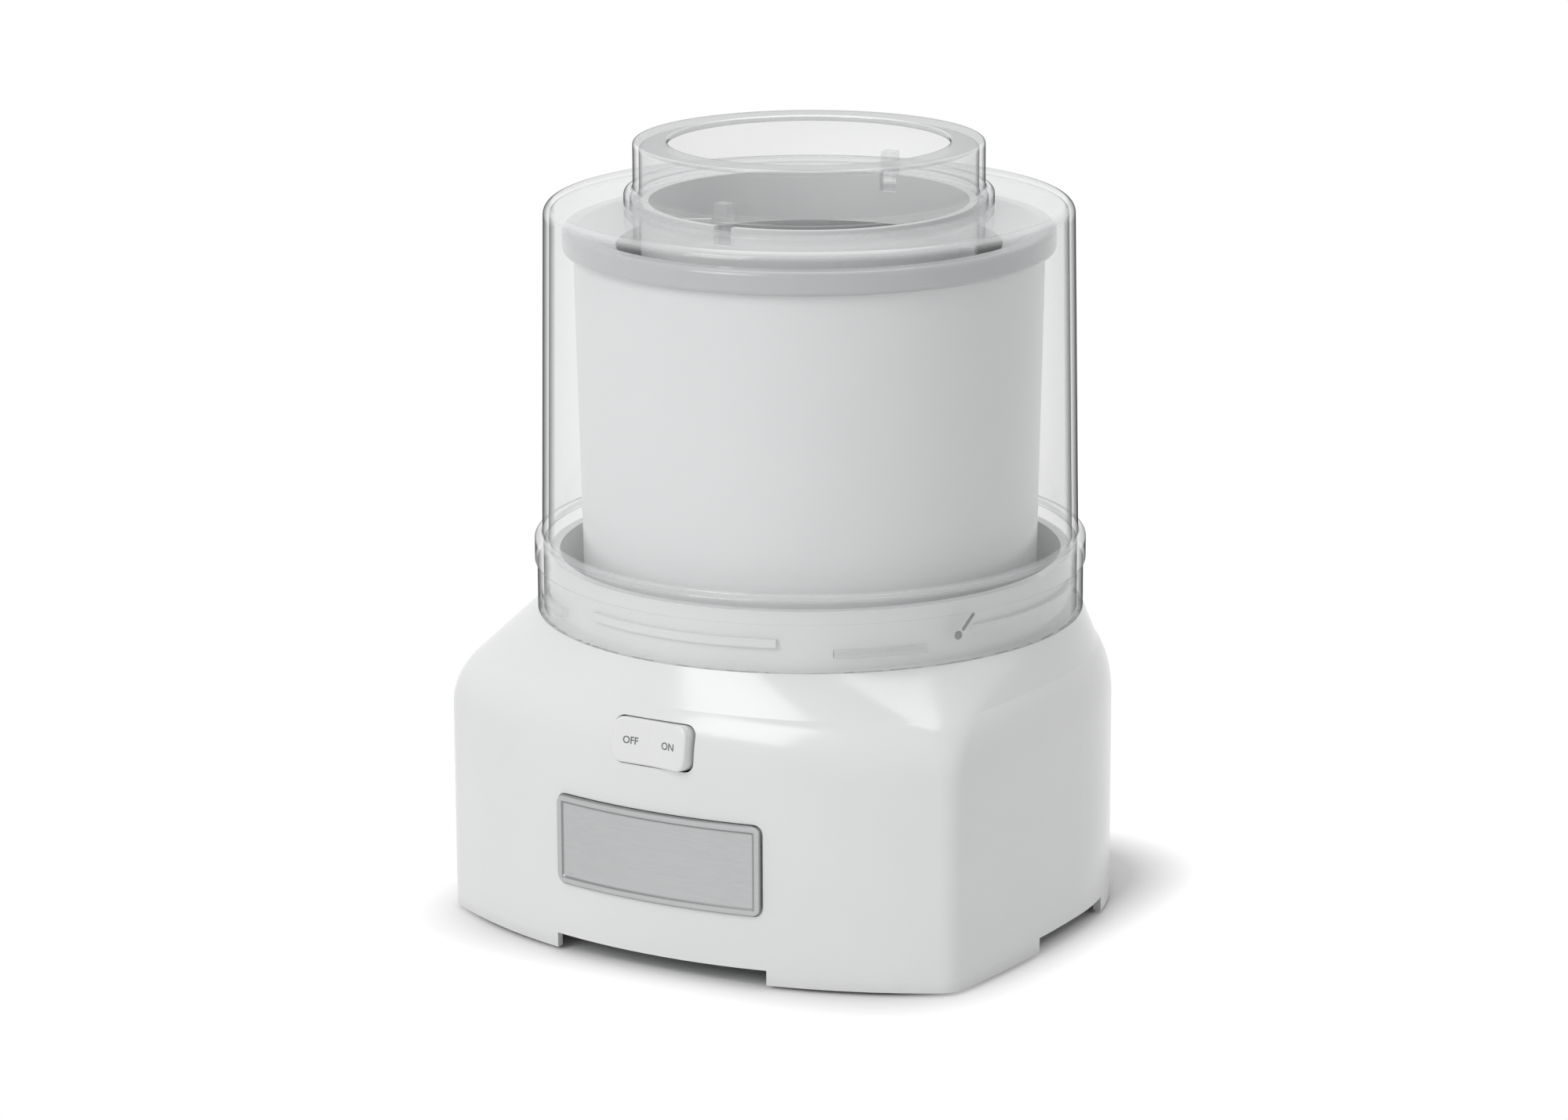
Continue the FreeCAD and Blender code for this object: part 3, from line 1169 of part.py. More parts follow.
def lid_chimney():
    """Clear neck on the lid's shoulder: cove, tube, flat mouth and the keys that hold the paddle."""
    wall = LID_WALL
    cove_top = LID_SHOULDER + CHIMNEY_COVE_HEIGHT
    body = turned([
        (CHIMNEY_COVE_RADIUS, LID_SHOULDER, 0),
        (CHIMNEY_COVE_RADIUS, cove_top, 2.0),
        (CHIMNEY_RADIUS, cove_top, 1.0),
        (CHIMNEY_RADIUS, LID_TOP, 1.2),
        (CHIMNEY_MOUTH_RADIUS, LID_TOP, 0.8),
        (CHIMNEY_MOUTH_RADIUS, LID_TOP - MOUTH_THICK, 0.8),
        (CHIMNEY_RADIUS - wall, LID_TOP - MOUTH_THICK, 1.0),
        (CHIMNEY_RADIUS - wall, cove_top - wall, 1.0),
        (CHIMNEY_COVE_RADIUS - wall, cove_top - wall, 0.8),
        (CHIMNEY_COVE_RADIUS - wall, LID_SHOULDER, 0),
    ])
    return body.fuse(key_blocks(0, cove_top + KEY_RISE)).removeSplitter()


def lock_tabs():
    """Tabs inside the skirt, standing in the gaps between the collar's ribs."""
    low = LID_LOW + LOCK_TAB_LIFT
    pitch = 360 / LOCK_TAB_COUNT
    outer = SKIRT_RADIUS - LID_WALL / 2
    inner = SKIRT_RADIUS - LID_WALL - LOCK_TAB_REACH
    return [ring_sector(outer, inner, low, low + LOCK_TAB_HEIGHT, pitch * (i + 0.5), LOCK_TAB_ANGLE)
            for i in range(LOCK_TAB_COUNT)]


def build():
    pieces = {
        "base_housing": base_housing(),
        "name_plate": name_plate(),
        "switch_rocker": switch_rocker(),
        "switch_body": switch_body(),
        "switch_terminals": switch_terminals(),
        "cord_gland": cord_gland(),
        "bottom_plate": bottom_plate(),
        "housing_screws": housing_screws(),
        "gear_case": gear_case(),
        "gear_cover": gear_cover(),
        "gear_case_screws": gear_case_screws(),
        "idler_axle": idler_axle(),
        "idler_gear": idler_gear(),
        "output_gear": output_gear(),
        "output_shaft": output_shaft(),
        "lower_shaft_bush": lower_shaft_bush(),
        "upper_shaft_bush": upper_shaft_bush(),
        "shaft_seal": shaft_seal(),
        "retaining_clip": retaining_clip(),
        "drive_hub": drive_hub(),
        "motor_stator": motor_stator(),
        "motor_coil": motor_coil(),
        "upper_motor_bracket": upper_motor_bracket(),
        "lower_motor_bracket": lower_motor_bracket(),
        "upper_motor_bush": motor_bush(CASE_UNDER - BRACKET_THICK),
        "lower_motor_bush": motor_bush(LOWER_BRACKET_LOW),
        "motor_screws": motor_screws(),
        "motor_rotor": motor_rotor(),
        "motor_shaft": motor_shaft(),
        "motor_pinion": motor_pinion(),
        "cooling_fan": cooling_fan(),
        "bowl_shell": bowl_shell(),
        "bowl_liner": bowl_liner(),
        "bowl_rim_ring": bowl_rim_ring(),
        "cooling_gel": cooling_gel(),
        "mixing_paddle": mixing_paddle(),
        "lid": lid(),
        "lid_chimney": lid_chimney(),
    }
    for number, at in enumerate(FEET, start=1):
        pieces["rubber_foot_%d" % number] = rubber_foot(at)
    for number, skirt in enumerate(corner_skirts(), start=1):
        pieces["corner_skirt_%d" % number] = skirt
    return pieces


os.makedirs("parts", exist_ok=True)
for name, shape in build().items():
    shape.exportStep(os.path.join("parts", name + ".step"))
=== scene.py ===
# %% [markdown]
# # A countertop ice cream maker
# The CAD model is the fixed frame: every piece below sits where its solid is, in metres.
# The bowl, lid, plate and rocker are made again as smooth surfaces. The housing, the paddle and
# the works keep their CAD meshes and only get a finish. Heights come from the frame where it
# gives them, so that they aren't guessed twice.

# %% Load the frame
import json
import math

import bmesh
import bpy
import numpy as np
from mathutils import Matrix, Vector


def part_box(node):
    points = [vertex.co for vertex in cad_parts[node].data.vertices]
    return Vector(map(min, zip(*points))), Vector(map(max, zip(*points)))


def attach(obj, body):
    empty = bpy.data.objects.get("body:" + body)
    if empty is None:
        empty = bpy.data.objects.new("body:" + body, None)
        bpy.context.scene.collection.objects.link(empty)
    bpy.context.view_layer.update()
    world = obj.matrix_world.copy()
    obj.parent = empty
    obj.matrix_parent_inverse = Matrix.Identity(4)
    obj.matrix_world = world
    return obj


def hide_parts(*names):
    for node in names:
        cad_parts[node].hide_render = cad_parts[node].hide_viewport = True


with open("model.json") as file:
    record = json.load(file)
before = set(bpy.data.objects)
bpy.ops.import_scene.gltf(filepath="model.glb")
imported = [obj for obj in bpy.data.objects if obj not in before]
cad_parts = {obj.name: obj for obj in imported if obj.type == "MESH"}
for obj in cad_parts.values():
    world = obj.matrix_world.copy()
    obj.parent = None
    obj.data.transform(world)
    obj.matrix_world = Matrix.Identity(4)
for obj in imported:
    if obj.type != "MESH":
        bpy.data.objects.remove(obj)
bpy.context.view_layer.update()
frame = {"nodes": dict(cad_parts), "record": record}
nodes = frame["nodes"]
MM = 0.001
LEDGE_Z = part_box("lid")[0].z / MM
LID_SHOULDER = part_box("lid")[1].z / MM
LID_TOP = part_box("lid_chimney")[1].z / MM
BOWL_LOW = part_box("bowl_shell")[0].z / MM
RIM_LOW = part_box("bowl_rim_ring")[0].z / MM
BOWL_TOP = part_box("bowl_rim_ring")[1].z / MM

# %% [markdown]
# ## From arrays to meshes
# A moulded surface is a function of two parameters. Numpy works out all its points at once as
# rows and columns, and one helper turns any such grid into quads. Rows that run up the outside
# of a profile and columns that run anticlockwise give faces that point outwards.

# %% Grid helpers
SMOOTH_ANGLE = math.radians(32)
LEAST_RADIUS = 1e-4


def mesh_of(name, points, quads, caps=()):
    """A mesh from points in millimetres, an array of quads and lists of cap corners."""
    mesh = bpy.data.meshes.new(name)
    mesh.from_pydata((points.reshape(-1, 3) * MM).tolist(), [], quads.tolist() + list(caps))
    return mesh


def place_mesh(name, mesh, body, material):
    """An object at the origin for a finished mesh, riding on a body."""
    mesh.materials.append(material)
    piece = bpy.data.objects.new(name, mesh)
    bpy.context.scene.collection.objects.link(piece)
    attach(piece, body)
    print(name, "has", len(mesh.polygons), "faces")
    return piece


def add_piece(name, points, quads, body, slot, caps=()):
    """A smooth piece in its slot's finish, whose sharp edges stay sharp."""
    mesh = mesh_of(name, points, quads, caps)
    mesh.validate()
    mesh.polygons.foreach_set("use_smooth", np.ones(len(mesh.polygons), bool))
    mesh.set_sharp_from_angle(angle=SMOOTH_ANGLE)
    return place_mesh(name, mesh, body, finishes[slot].material)


def grid_quads(rows, columns, wrap_rows=False, wrap_columns=False):
    """Corner numbers of the quads between neighbouring rows and columns, closed round where asked."""
    index = np.arange(rows * columns).reshape(rows, columns)
    if wrap_rows:
        index = np.vstack([index, index[:1]])
    if wrap_columns:
        index = np.hstack([index, index[:, :1]])
    corners = [index[:-1, :-1], index[:-1, 1:], index[1:, 1:], index[1:, :-1]]
    return np.stack(corners, axis=-1).reshape(-1, 4)


def end_caps(rows, columns):
    """Corner lists that close the first and the last row of a tube."""
    last = (rows - 1) * columns
    return [list(range(columns))[::-1], list(range(last, last + columns))]


def rounded_profile(corners, steps=6, support=0.4):
    """Points along a closed profile of (a, b, radius) corners: each becomes an arc of steps chords."""
    corners = np.array(corners, float)
    here = corners[:, :2]
    back = np.roll(here, 1, axis=0) - here
    ahead = np.roll(here, -1, axis=0) - here
    back /= np.linalg.norm(back, axis=1, keepdims=True)
    ahead /= np.linalg.norm(ahead, axis=1, keepdims=True)
    half = np.arccos(np.clip((back * ahead).sum(axis=1), -1, 1)) / 2
    radius = np.maximum(corners[:, 2], LEAST_RADIUS)
    cut = radius / np.tan(half)
    inward = back + ahead
    inward /= np.linalg.norm(inward, axis=1, keepdims=True)
    centre = here + inward * (radius / np.sin(half))[:, None]
    start = here + back * cut[:, None] - centre
    swing = math.pi - 2 * half
    side = np.sign(start[:, 0] * (ahead[:, 1] * cut + here[:, 1] - centre[:, 1])
                   - start[:, 1] * (ahead[:, 0] * cut + here[:, 0] - centre[:, 0]))
    turn = (side * swing)[:, None] * np.linspace(0, 1, steps + 1)
    cos, sin = np.cos(turn), np.sin(turn)
    arc = np.stack([start[:, :1] * cos - start[:, 1:] * sin,
                    start[:, :1] * sin + start[:, 1:] * cos], axis=-1)
    arc += centre[:, None]
    # A support point just outside each end of an arc keeps the shading of the straight runs flat.
    before = arc[:, :1] + back[:, None] * support
    after = arc[:, -1:] + ahead[:, None] * support
    return np.concatenate([before, arc, after], axis=1).reshape(-1, 2)


def turned(profile, columns):
    """Grid of a profile of (radius, height) points carried round Z: x = r cos a, y = r sin a."""
    angle = np.linspace(0, 2 * math.pi, columns, endpoint=False)
    r, z = profile[:, :1], profile[:, 1:]
    return np.stack([r * np.cos(angle), r * np.sin(angle), z + 0 * angle], axis=-1)


# %% [markdown]
# ## Finishes as arithmetic
# A finish is a small program that runs at every point of a surface. Wiring it by hand hides the
# sums, so one class wraps a socket and lets Python's operators add the Math nodes, and a second
# class adds any other node. A third feeds a material's shader. Only the sockets that the export
# can bake vary.

# %% Wires and finishes
class Wire:
    """A node's output socket: arithmetic on it adds Math nodes to its graph."""

    def __init__(self, graph, socket):
        self.graph = graph
        self.socket = socket

    def maths(self, operation, first, second):
        return self.graph.node("ShaderNodeMath", {"operation": operation}, {0: first, 1: second})

    def __add__(self, other):
        return self.maths("ADD", self, other)

    def __radd__(self, other):
        return self.maths("ADD", other, self)

    def __sub__(self, other):
        return self.maths("SUBTRACT", self, other)

    def __rsub__(self, other):
        return self.maths("SUBTRACT", other, self)

    def __mul__(self, other):
        return self.maths("MULTIPLY", self, other)

    def __rmul__(self, other):
        return self.maths("MULTIPLY", other, self)

    def __pow__(self, other):
        return self.maths("POWER", self, other)


class Graph:
    """A node tree in the making."""

    def __init__(self, tree):
        self.tree = tree

    def node(self, kind, settings=None, sockets=None, out=0):
        """Adds any node: its settings first, then its sockets' values or links."""
        made = self.tree.nodes.new(kind)
        for name, value in (settings or {}).items():
            setattr(made, name, value)
        for key, value in (sockets or {}).items():
            if isinstance(value, Wire):
                self.tree.links.new(value.socket, made.inputs[key])
            else:
                made.inputs[key].default_value = value
        return Wire(self, made.outputs[out])

    def span(self, wire, low, high, start=0.0, end=1.0):
        """The wire's run from low to high as start to end, held at both."""
        sockets = {0: wire, 1: low, 2: high, 3: start, 4: end}
        return self.node("ShaderNodeMapRange", {"clamp": True}, sockets)

    def maximum(self, first, second):
        """The greater of two wires at each point."""
        return self.node("ShaderNodeMath", {"operation": "MAXIMUM"}, {0: first, 1: second})

    def seen_directly(self):
        """1 where a camera, mirror or see-through ray arrives, 0 where light only bounces."""
        camera_ray = self.node("ShaderNodeLightPath", out="Is Camera Ray")
        glossy_ray = self.node("ShaderNodeLightPath", out="Is Glossy Ray")
        through_ray = self.node("ShaderNodeLightPath", out="Is Transmission Ray")
        return self.maximum(self.maximum(camera_ray, glossy_ray), through_ray)


class Finish(Graph):
    """A material in the making: feed() joins a wire to its Principled shader."""

    def __init__(self, name, fixed):
        self.material = bpy.data.materials.new(name)
        self.material.use_nodes = True
        super().__init__(self.material.node_tree)
        self.shader = self.tree.nodes["Principled BSDF"]
        for socket, value in fixed.items():
            self.shader.inputs[socket].default_value = value
        self.place = self.node("ShaderNodeTexCoord", out="Object")
        print("finish", name)

    def feed(self, socket, wire):
        self.tree.links.new(wire.socket, self.shader.inputs[socket])

    def along(self, axis):
        """A point's place along X, Y or Z in metres."""
        return self.node("ShaderNodeSeparateXYZ", {}, {0: self.place}, out=axis)

    def noise(self, scale, detail=2.0, stretch=(1, 1, 1)):
        """Cloudy noise from 0 to 1; stretch above 1 packs it closer along that axis."""
        spot = self.node("ShaderNodeMapping", {}, {"Vector": self.place, "Scale": stretch})
        return self.node("ShaderNodeTexNoise", {}, {"Vector": spot, "Scale": scale, "Detail": detail})

    def bands(self, scale, wobble):
        """Soft bands from 0 to 1 up the Z axis."""
        settings = {"wave_type": "BANDS", "bands_direction": "Z"}
        sockets = {"Vector": self.place, "Scale": scale, "Distortion": wobble}
        return self.node("ShaderNodeTexWave", settings, sockets, out="Fac")

    def mixed(self, factor, first, second):
        """A colour between two colours."""
        return self.node("ShaderNodeMix", {"data_type": "RGBA"}, {0: factor, 6: first, 7: second}, out=2)

    def overlaid(self, mask, colour):
        """Lays a colour over what feeds Base Color, as far as the mask says."""
        below = Wire(self, self.shader.inputs["Base Color"].links[0].from_socket)
        self.feed("Base Color", self.mixed(mask, below, colour))

    def covered(self, factor, other):
        """Mixes another shader over the Principled one."""
        own = Wire(self, self.shader.outputs[0])
        both = self.node("ShaderNodeMixShader", {}, {0: factor, 1: own, 2: other})
        self.tree.links.new(both.socket, self.tree.nodes["Material Output"].inputs["Surface"])

    def bumped(self, height, distance):
        """Feeds a relief of this depth in metres to the shader's normal."""
        sockets = {"Height": height, "Distance": distance, "Strength": 1.0}
        self.feed("Normal", self.node("ShaderNodeBump", {}, sockets))


def tint(red, green, blue):
    return (red, green, blue, 1.0)


# %% [markdown]
# ## Moulded plastics
# Most of the machine is injection-moulded. Real mouldings are never one flat colour: the melt
# cools unevenly, so the tone drifts a little over centimetres, the polish varies with the tool,
# and a fine skin texture breaks up the reflections. One function makes them all from a colour,
# a slightly darker drift colour, a roughness and a skin depth.

# %% Moulded finishes
PLASTIC_IOR, COAT_ROUGHNESS = 1.49, 0.12
CLOUD_SCALE, PATCH_SCALE = 20.0, 70.0
FINE_SKIN, COARSE_SKIN, RUBBER_SKIN, GEL_SKIN = 1400.0, 900.0, 700.0, 60.0


def moulded(name, colour, drift, roughness, skin, coat=0.0, skin_scale=FINE_SKIN):
    """Colour drifts with noise 5 cm across, roughness with 1.4 cm patches, relief with a fine skin."""
    finish = Finish(name, {"IOR": PLASTIC_IOR, "Coat Weight": coat, "Coat Roughness": COAT_ROUGHNESS})
    cloud = finish.span(finish.noise(CLOUD_SCALE, 3.0), 0.3, 0.7)
    finish.feed("Base Color", finish.mixed(cloud, tint(*colour), tint(*drift)))
    patches = finish.span(finish.noise(PATCH_SCALE, 2.0), 0.1, 0.9)
    finish.feed("Roughness", roughness * (0.95 + 0.12 * patches))
    finish.bumped(finish.noise(skin_scale, 2.0), skin)
    return finish


# Each row: name, colour, drift colour, roughness, depth of the skin in metres, coat, scale of the skin.
finishes = {row[0]: moulded(*row) for row in (
    ("white_housing", (0.86, 0.865, 0.865), (0.835, 0.842, 0.845), 0.20, 0.000003, 0.25),
    ("white_rocker", (0.87, 0.872, 0.87), (0.85, 0.855, 0.855), 0.16, 0.000003, 0.3),
    ("paddle_white", (0.84, 0.845, 0.845), (0.80, 0.805, 0.81), 0.28, 0.000004),
    ("bowl_white", (0.87, 0.875, 0.88), (0.85, 0.855, 0.86), 0.30, 0.000004, 0.2),
    ("rim_grey", (0.55, 0.56, 0.57), (0.53, 0.54, 0.55), 0.22, 0.000003, 0.6),
    ("grey_plastic", (0.42, 0.43, 0.44), (0.38, 0.39, 0.40), 0.48, 0.00002, 0.0, COARSE_SKIN),
    ("hub_plastic", (0.13, 0.135, 0.14), (0.11, 0.115, 0.12), 0.42, 0.00002, 0.0, COARSE_SKIN),
    ("black_plastic", (0.03, 0.03, 0.031), (0.022, 0.022, 0.023), 0.45, 0.00001),
    ("black_rubber", (0.035, 0.035, 0.035), (0.028, 0.028, 0.028), 0.75, 0.00004, 0.0, RUBBER_SKIN),
    ("nylon", (0.74, 0.71, 0.62), (0.70, 0.665, 0.57), 0.38, 0.000006),
    ("gel", (0.30, 0.52, 0.68), (0.22, 0.44, 0.62), 0.18, 0.0004, 0.0, GEL_SKIN),
)}

# The lowest few millimetres of the housing are painted greyer towards the bottom, mottled by noise.
LOW_GREY_START, LOW_GREY_END, LOW_GREY_MOST = 0.0015, 0.006, 0.35
housing = finishes["white_housing"]
low_grey = housing.span(housing.along("Z"), LOW_GREY_START, LOW_GREY_END, LOW_GREY_MOST, 0.0) * housing.noise(160.0, 4.0)
housing.overlaid(low_grey, tint(0.55, 0.55, 0.54))

# %% [markdown]
# ## Metals
# Turned and pressed metals show how they were made: a lathe leaves fine rings, a winding shows
# its wires, a stack shows its sheets, and zinc plating shows crystals. The lines are noise or
# waves packed along one axis.

# %% Metal finishes
def metal(name, colour, drift, roughness, lines, depth, metallic=1.0):
    """Colour and roughness follow a pattern of lines, and the same lines are cut to this depth."""
    finish = Finish(name, {"Metallic": metallic})
    pattern = lines(finish)
    finish.feed("Base Color", finish.mixed(pattern, tint(*colour), tint(*drift)))
    finish.feed("Roughness", roughness * (0.75 + 0.5 * pattern))
    finish.bumped(pattern, depth)
    return finish


def turned_lines(finish):
    """Lathe rings: noise packed along the axis."""
    return finish.noise(40.0, 3.0, (1, 1, 60))


def brushed_lines(finish):
    """Brush strokes along X: noise packed along Y and Z."""
    return finish.noise(14.0, 5.0, (1, 90, 90))


def sheet_lines(finish):
    """Edges of the stacked steel sheets."""
    return finish.bands(310.0, 0.4)


def wire_lines(finish):
    """Turns of enamelled wire lying side by side."""
    return finish.bands(420.0, 1.2)


def crystal_lines(finish):
    """Plating crystals as flat cells of random grey."""
    cells = {"Vector": finish.place, "Scale": 260.0}
    cells = finish.node("ShaderNodeTexVoronoi", {}, cells, out="Color")
    return finish.node("ShaderNodeRGBToBW", {}, {0: cells})


# Each row: name, colour, drift colour, roughness, pattern, depth of the lines in metres, metallic.
finishes |= {row[0]: metal(*row) for row in (
    ("steel", (0.60, 0.60, 0.61), (0.50, 0.50, 0.51), 0.26, turned_lines, 0.00002),
    ("brass", (0.70, 0.52, 0.25), (0.60, 0.43, 0.19), 0.28, turned_lines, 0.00002),
    ("lamination", (0.30, 0.30, 0.32), (0.16, 0.16, 0.17), 0.42, sheet_lines, 0.00008),
    ("copper_winding", (0.62, 0.28, 0.12), (0.36, 0.14, 0.06), 0.30, wire_lines, 0.0002, 0.85),
    ("zinc", (0.60, 0.61, 0.62), (0.46, 0.47, 0.48), 0.36, crystal_lines, 0.00001),
    ("bowl_metal", (0.47, 0.48, 0.49), (0.40, 0.41, 0.42), 0.34, turned_lines, 0.00003),
    ("silver_plate", (0.56, 0.565, 0.57), (0.48, 0.485, 0.49), 0.34, brushed_lines, 0.000008, 0.8),
)}

# %% [markdown]
# ## The clear lid's finish
# Clear plastic is nearly invisible face on, and grey where the eye looks along its wall, because
# more of the light is reflected and the path through it is longer. A see-through shader whose
# cover grows with the viewing angle shows both and lets the studio light reach the bowl.

# %% Clear finish
BAND_TOP = 140.0
clear_lid = Finish("clear_lid", {"IOR": 1.6, "Specular IOR Level": 1.0})
facing = clear_lid.node("ShaderNodeLayerWeight", {}, {"Blend": 0.5}, out="Facing")
cloudy = 0.02 * clear_lid.noise(30.0, 3.0)
up = clear_lid.along("Z")


def near(level, low, high, start=0.0, end=1.0):
    """A run from start to end between two heights, in millimetres from a level of the lid."""
    return clear_lid.span(up, (level + low) * MM, (level + high) * MM, start, end)


# Painted highlights on the moulded corners, where they catch the light: the shoulder's rounding, the
# mouth's edge and the band's upper edge.
shoulder_glint = near(LID_SHOULDER, -4.0, -1.2) * near(LID_SHOULDER, -0.4, -0.2, 1.0, 0.25)
mouth_glint = near(LID_TOP, -1.2, -0.3)
band_glint = near(BAND_TOP, -2.0, -0.5) * near(BAND_TOP, 0.2, 1.2, 1.0, 0.0)
glint = clear_lid.maximum(clear_lid.maximum(shoulder_glint, mouth_glint), band_glint)
clear_lid.feed("Alpha", 0.06 + 0.36 * facing ** 3.0 + cloudy + 0.30 * glint)
clear_lid.feed("Base Color", clear_lid.mixed(facing, tint(0.90, 0.91, 0.915), tint(0.80, 0.815, 0.82)))
clear_lid.feed("Roughness", 0.04 + 0.06 * clear_lid.noise(70.0, 3.0))
# Along its outline the wall is seen through its whole length and turns dark grey. The level shoulder
# isn't an outline, so it stays clear, and the mouth's thick lip keeps its grey.
normal = clear_lid.node("ShaderNodeNewGeometry", {}, {}, out="Normal")
normal_z = clear_lid.node("ShaderNodeSeparateXYZ", {}, {0: normal}, out="Z")
not_level = clear_lid.span(normal_z * normal_z, 0.85, 0.99, 1.0, 0.0)
lip = near(LID_TOP, -5.0, -4.0)
outline = clear_lid.span(facing, 0.78, 0.93) * clear_lid.maximum(lip, not_level)
dark = {"Base Color": tint(0.07, 0.075, 0.08), "Roughness": 0.9, "Specular IOR Level": 0.0, "Alpha": 0.82}
clear_lid.covered(outline, clear_lid.node("ShaderNodeBsdfPrincipled", {}, dark))
finishes["clear_lid"] = clear_lid

# %% [markdown]
# ## Finishes for the CAD pieces
# The record says which finish each CAD piece has, so the same table that names them dresses them.

# %% Dress the CAD pieces
slot_of = {entry["node"]: entry["material_slot"] for entry in frame["record"]["subparts"]}
for node, slot in slot_of.items():
    for place in nodes[node].material_slots:
        place.material = finishes[slot].material
print(len(slot_of), "CAD pieces dressed")

# %% [markdown]
# ## The switch's frame
# The rocker sits on the rounded upper edge of the housing, so its marks need that edge's own
# directions: across, up the slope and outwards. The edge is an arc of 58 degrees whose plan
# shrinks towards the round ring, and the switch sits three tenths of the way up it.

# %% Bullnose and switch directions
WALL_TOP, BULLNOSE_HEIGHT = 79.0, 19.5
BULLNOSE_BLEND, BULLNOSE_INSET = 0.26, 2.6
BULLNOSE_SWEEP = math.radians(58.0)
BASE_FRONT, RING_RADIUS = 112.5, 101.0
SWITCH_STEP = 0.3


def bullnose(step):
    """Blend, inset and height along the rounded edge: the inset follows 1 - cos and the height sin."""
    turn = BULLNOSE_SWEEP * np.asarray(step, float)
    draw = (1 - np.cos(turn)) / (1 - math.cos(BULLNOSE_SWEEP))
    rise = np.sin(turn) / math.sin(BULLNOSE_SWEEP)
    return BULLNOSE_BLEND * draw, BULLNOSE_INSET * draw, WALL_TOP + BULLNOSE_HEIGHT * rise


blend, inset, height_on_nose = bullnose([0, SWITCH_STEP, 2 * SWITCH_STEP])
front_y = -(BASE_FRONT * (1 - blend) + RING_RADIUS * blend - inset)
on_nose = np.stack([0 * front_y, front_y, height_on_nose], axis=-1)
upslope = Vector(on_nose[2] - on_nose[0]).normalized()
outward = Vector((1, 0, 0)).cross(upslope)
turn_axes = Matrix((Vector((1, 0, 0)), upslope, outward)).transposed().to_4x4()
switch_place = Matrix.Translation(on_nose[1]) @ turn_axes
print("switch centre, mm:", on_nose[1].round(2))

# %% [markdown]
# ## Marks on the switch
# The two halves of the rocker are marked OFF and ON in small grey print. A text object gives the
# letters; it is turned into a mesh first and then laid on its half of the face, whose slope is
# the face's own five degrees plus the rocker's tilt.

# %% Switch marks
ROCKER_TILT, PIVOT_DEPTH, FACE_PROUD = math.radians(5.0), 5.5, 0.6
LETTER_SIZE, LETTER_THICK, LETTER_BOLD, WORD_MIDDLE = 3.7, 0.05, 0.06, 8.2
SAME_POINT = 1e-6
tilted = Matrix.Translation((0, 0, -PIVOT_DEPTH)) @ Matrix.Rotation(-ROCKER_TILT, 4, "Y")
tilted = switch_place @ tilted @ Matrix.Translation((0, 0, PIVOT_DEPTH))


def printed(name, fresh, faded):
    """Matt print between two greys, mottled by fine noise."""
    finish = Finish(name, {"Roughness": 0.5})
    worn = finish.span(finish.noise(900.0, 3.0), 0.35, 0.8)
    finish.feed("Base Color", finish.mixed(worn, tint(*fresh), tint(*faded)))
    return finish


def switch_mark(name, word, side):
    """A word as a thin mesh, centred on one half of the rocker's face."""
    script = bpy.data.curves.new(name, "FONT")
    script.body, script.size = word, LETTER_SIZE
    script.extrude, script.offset = LETTER_THICK, LETTER_BOLD
    script.align_x = script.align_y = "CENTER"
    holder = bpy.data.objects.new(name, script)
    mesh = bpy.data.meshes.new_from_object(holder)
    bpy.data.objects.remove(holder)
    proud = FACE_PROUD + WORD_MIDDLE * math.tan(ROCKER_TILT)
    on_face = Matrix.Translation((WORD_MIDDLE * side, 0, proud))
    mesh.transform(Matrix.Scale(MM, 4) @ tilted @ on_face @ Matrix.Rotation(-side * ROCKER_TILT, 4, "Y"))
    mesh.name = name
    # A text mesh keeps its front, sides and back apart, so their shared points are joined.
    joined = bmesh.new()
    joined.from_mesh(mesh)
    bmesh.ops.remove_doubles(joined, verts=joined.verts[:], dist=SAME_POINT)
    joined.to_mesh(mesh)
    joined.free()
    mesh.materials.clear()
    return place_mesh(name, mesh, "rocker", print_grey.material)


print_grey = printed("print_grey", (0.13, 0.135, 0.14), (0.24, 0.245, 0.25))
switch_mark("mark_off", "OFF", -1)
switch_mark("mark_on", "ON", 1)

# %% [markdown]
# ## Lock mark on the lid
# A dot and a slanting stroke on the skirt show which way the lid turns to lock. They are printed
# on a cylinder, so the outline is drawn flat, as distance round the skirt and height, and wrapped.

# %% Lock mark
SKIRT_RADIUS = 100.9
MARK_SINK, MARK_PROUD, MARK_STEPS = -0.1, 0.06, 13
MARK_BEARING = math.radians(-28.4)
DOT_HEIGHT, DOT_WIDTH, STROKE_WIDTH = 122.6, 3.2, 1.3
lock_grey = printed("lock_grey", (0.30, 0.305, 0.31), (0.42, 0.425, 0.43))


def wrapped_mark(name, start, end, width):
    """A round-ended stroke: a loop half a width from a line, wrapped on the skirt and thickened."""
    start, end = np.array(start, float), np.array(end, float)
    slant = math.atan2(end[1] - start[1], end[0] - start[0])
    half_turn = np.linspace(-math.pi / 2, math.pi / 2, MARK_STEPS)
    angles = np.concatenate([half_turn, half_turn + math.pi]) + slant
    ends = np.repeat(np.stack([end, start]), MARK_STEPS, axis=0)
    loop = ends + width / 2 * np.stack([np.cos(angles), np.sin(angles)], axis=-1)
    round_skirt = loop[:, 0] / SKIRT_RADIUS
    radii = SKIRT_RADIUS + np.array([[MARK_SINK], [MARK_PROUD]])
    heights = loop[:, 1] + 0 * radii
    points = np.stack([radii * np.cos(round_skirt), radii * np.sin(round_skirt), heights], axis=-1)
    rows, count = points.shape[:2]
    quads = grid_quads(rows, count, wrap_columns=True)
    mesh = mesh_of(name, points, quads, end_caps(rows, count))
    return place_mesh(name, mesh, "lid", lock_grey.material)


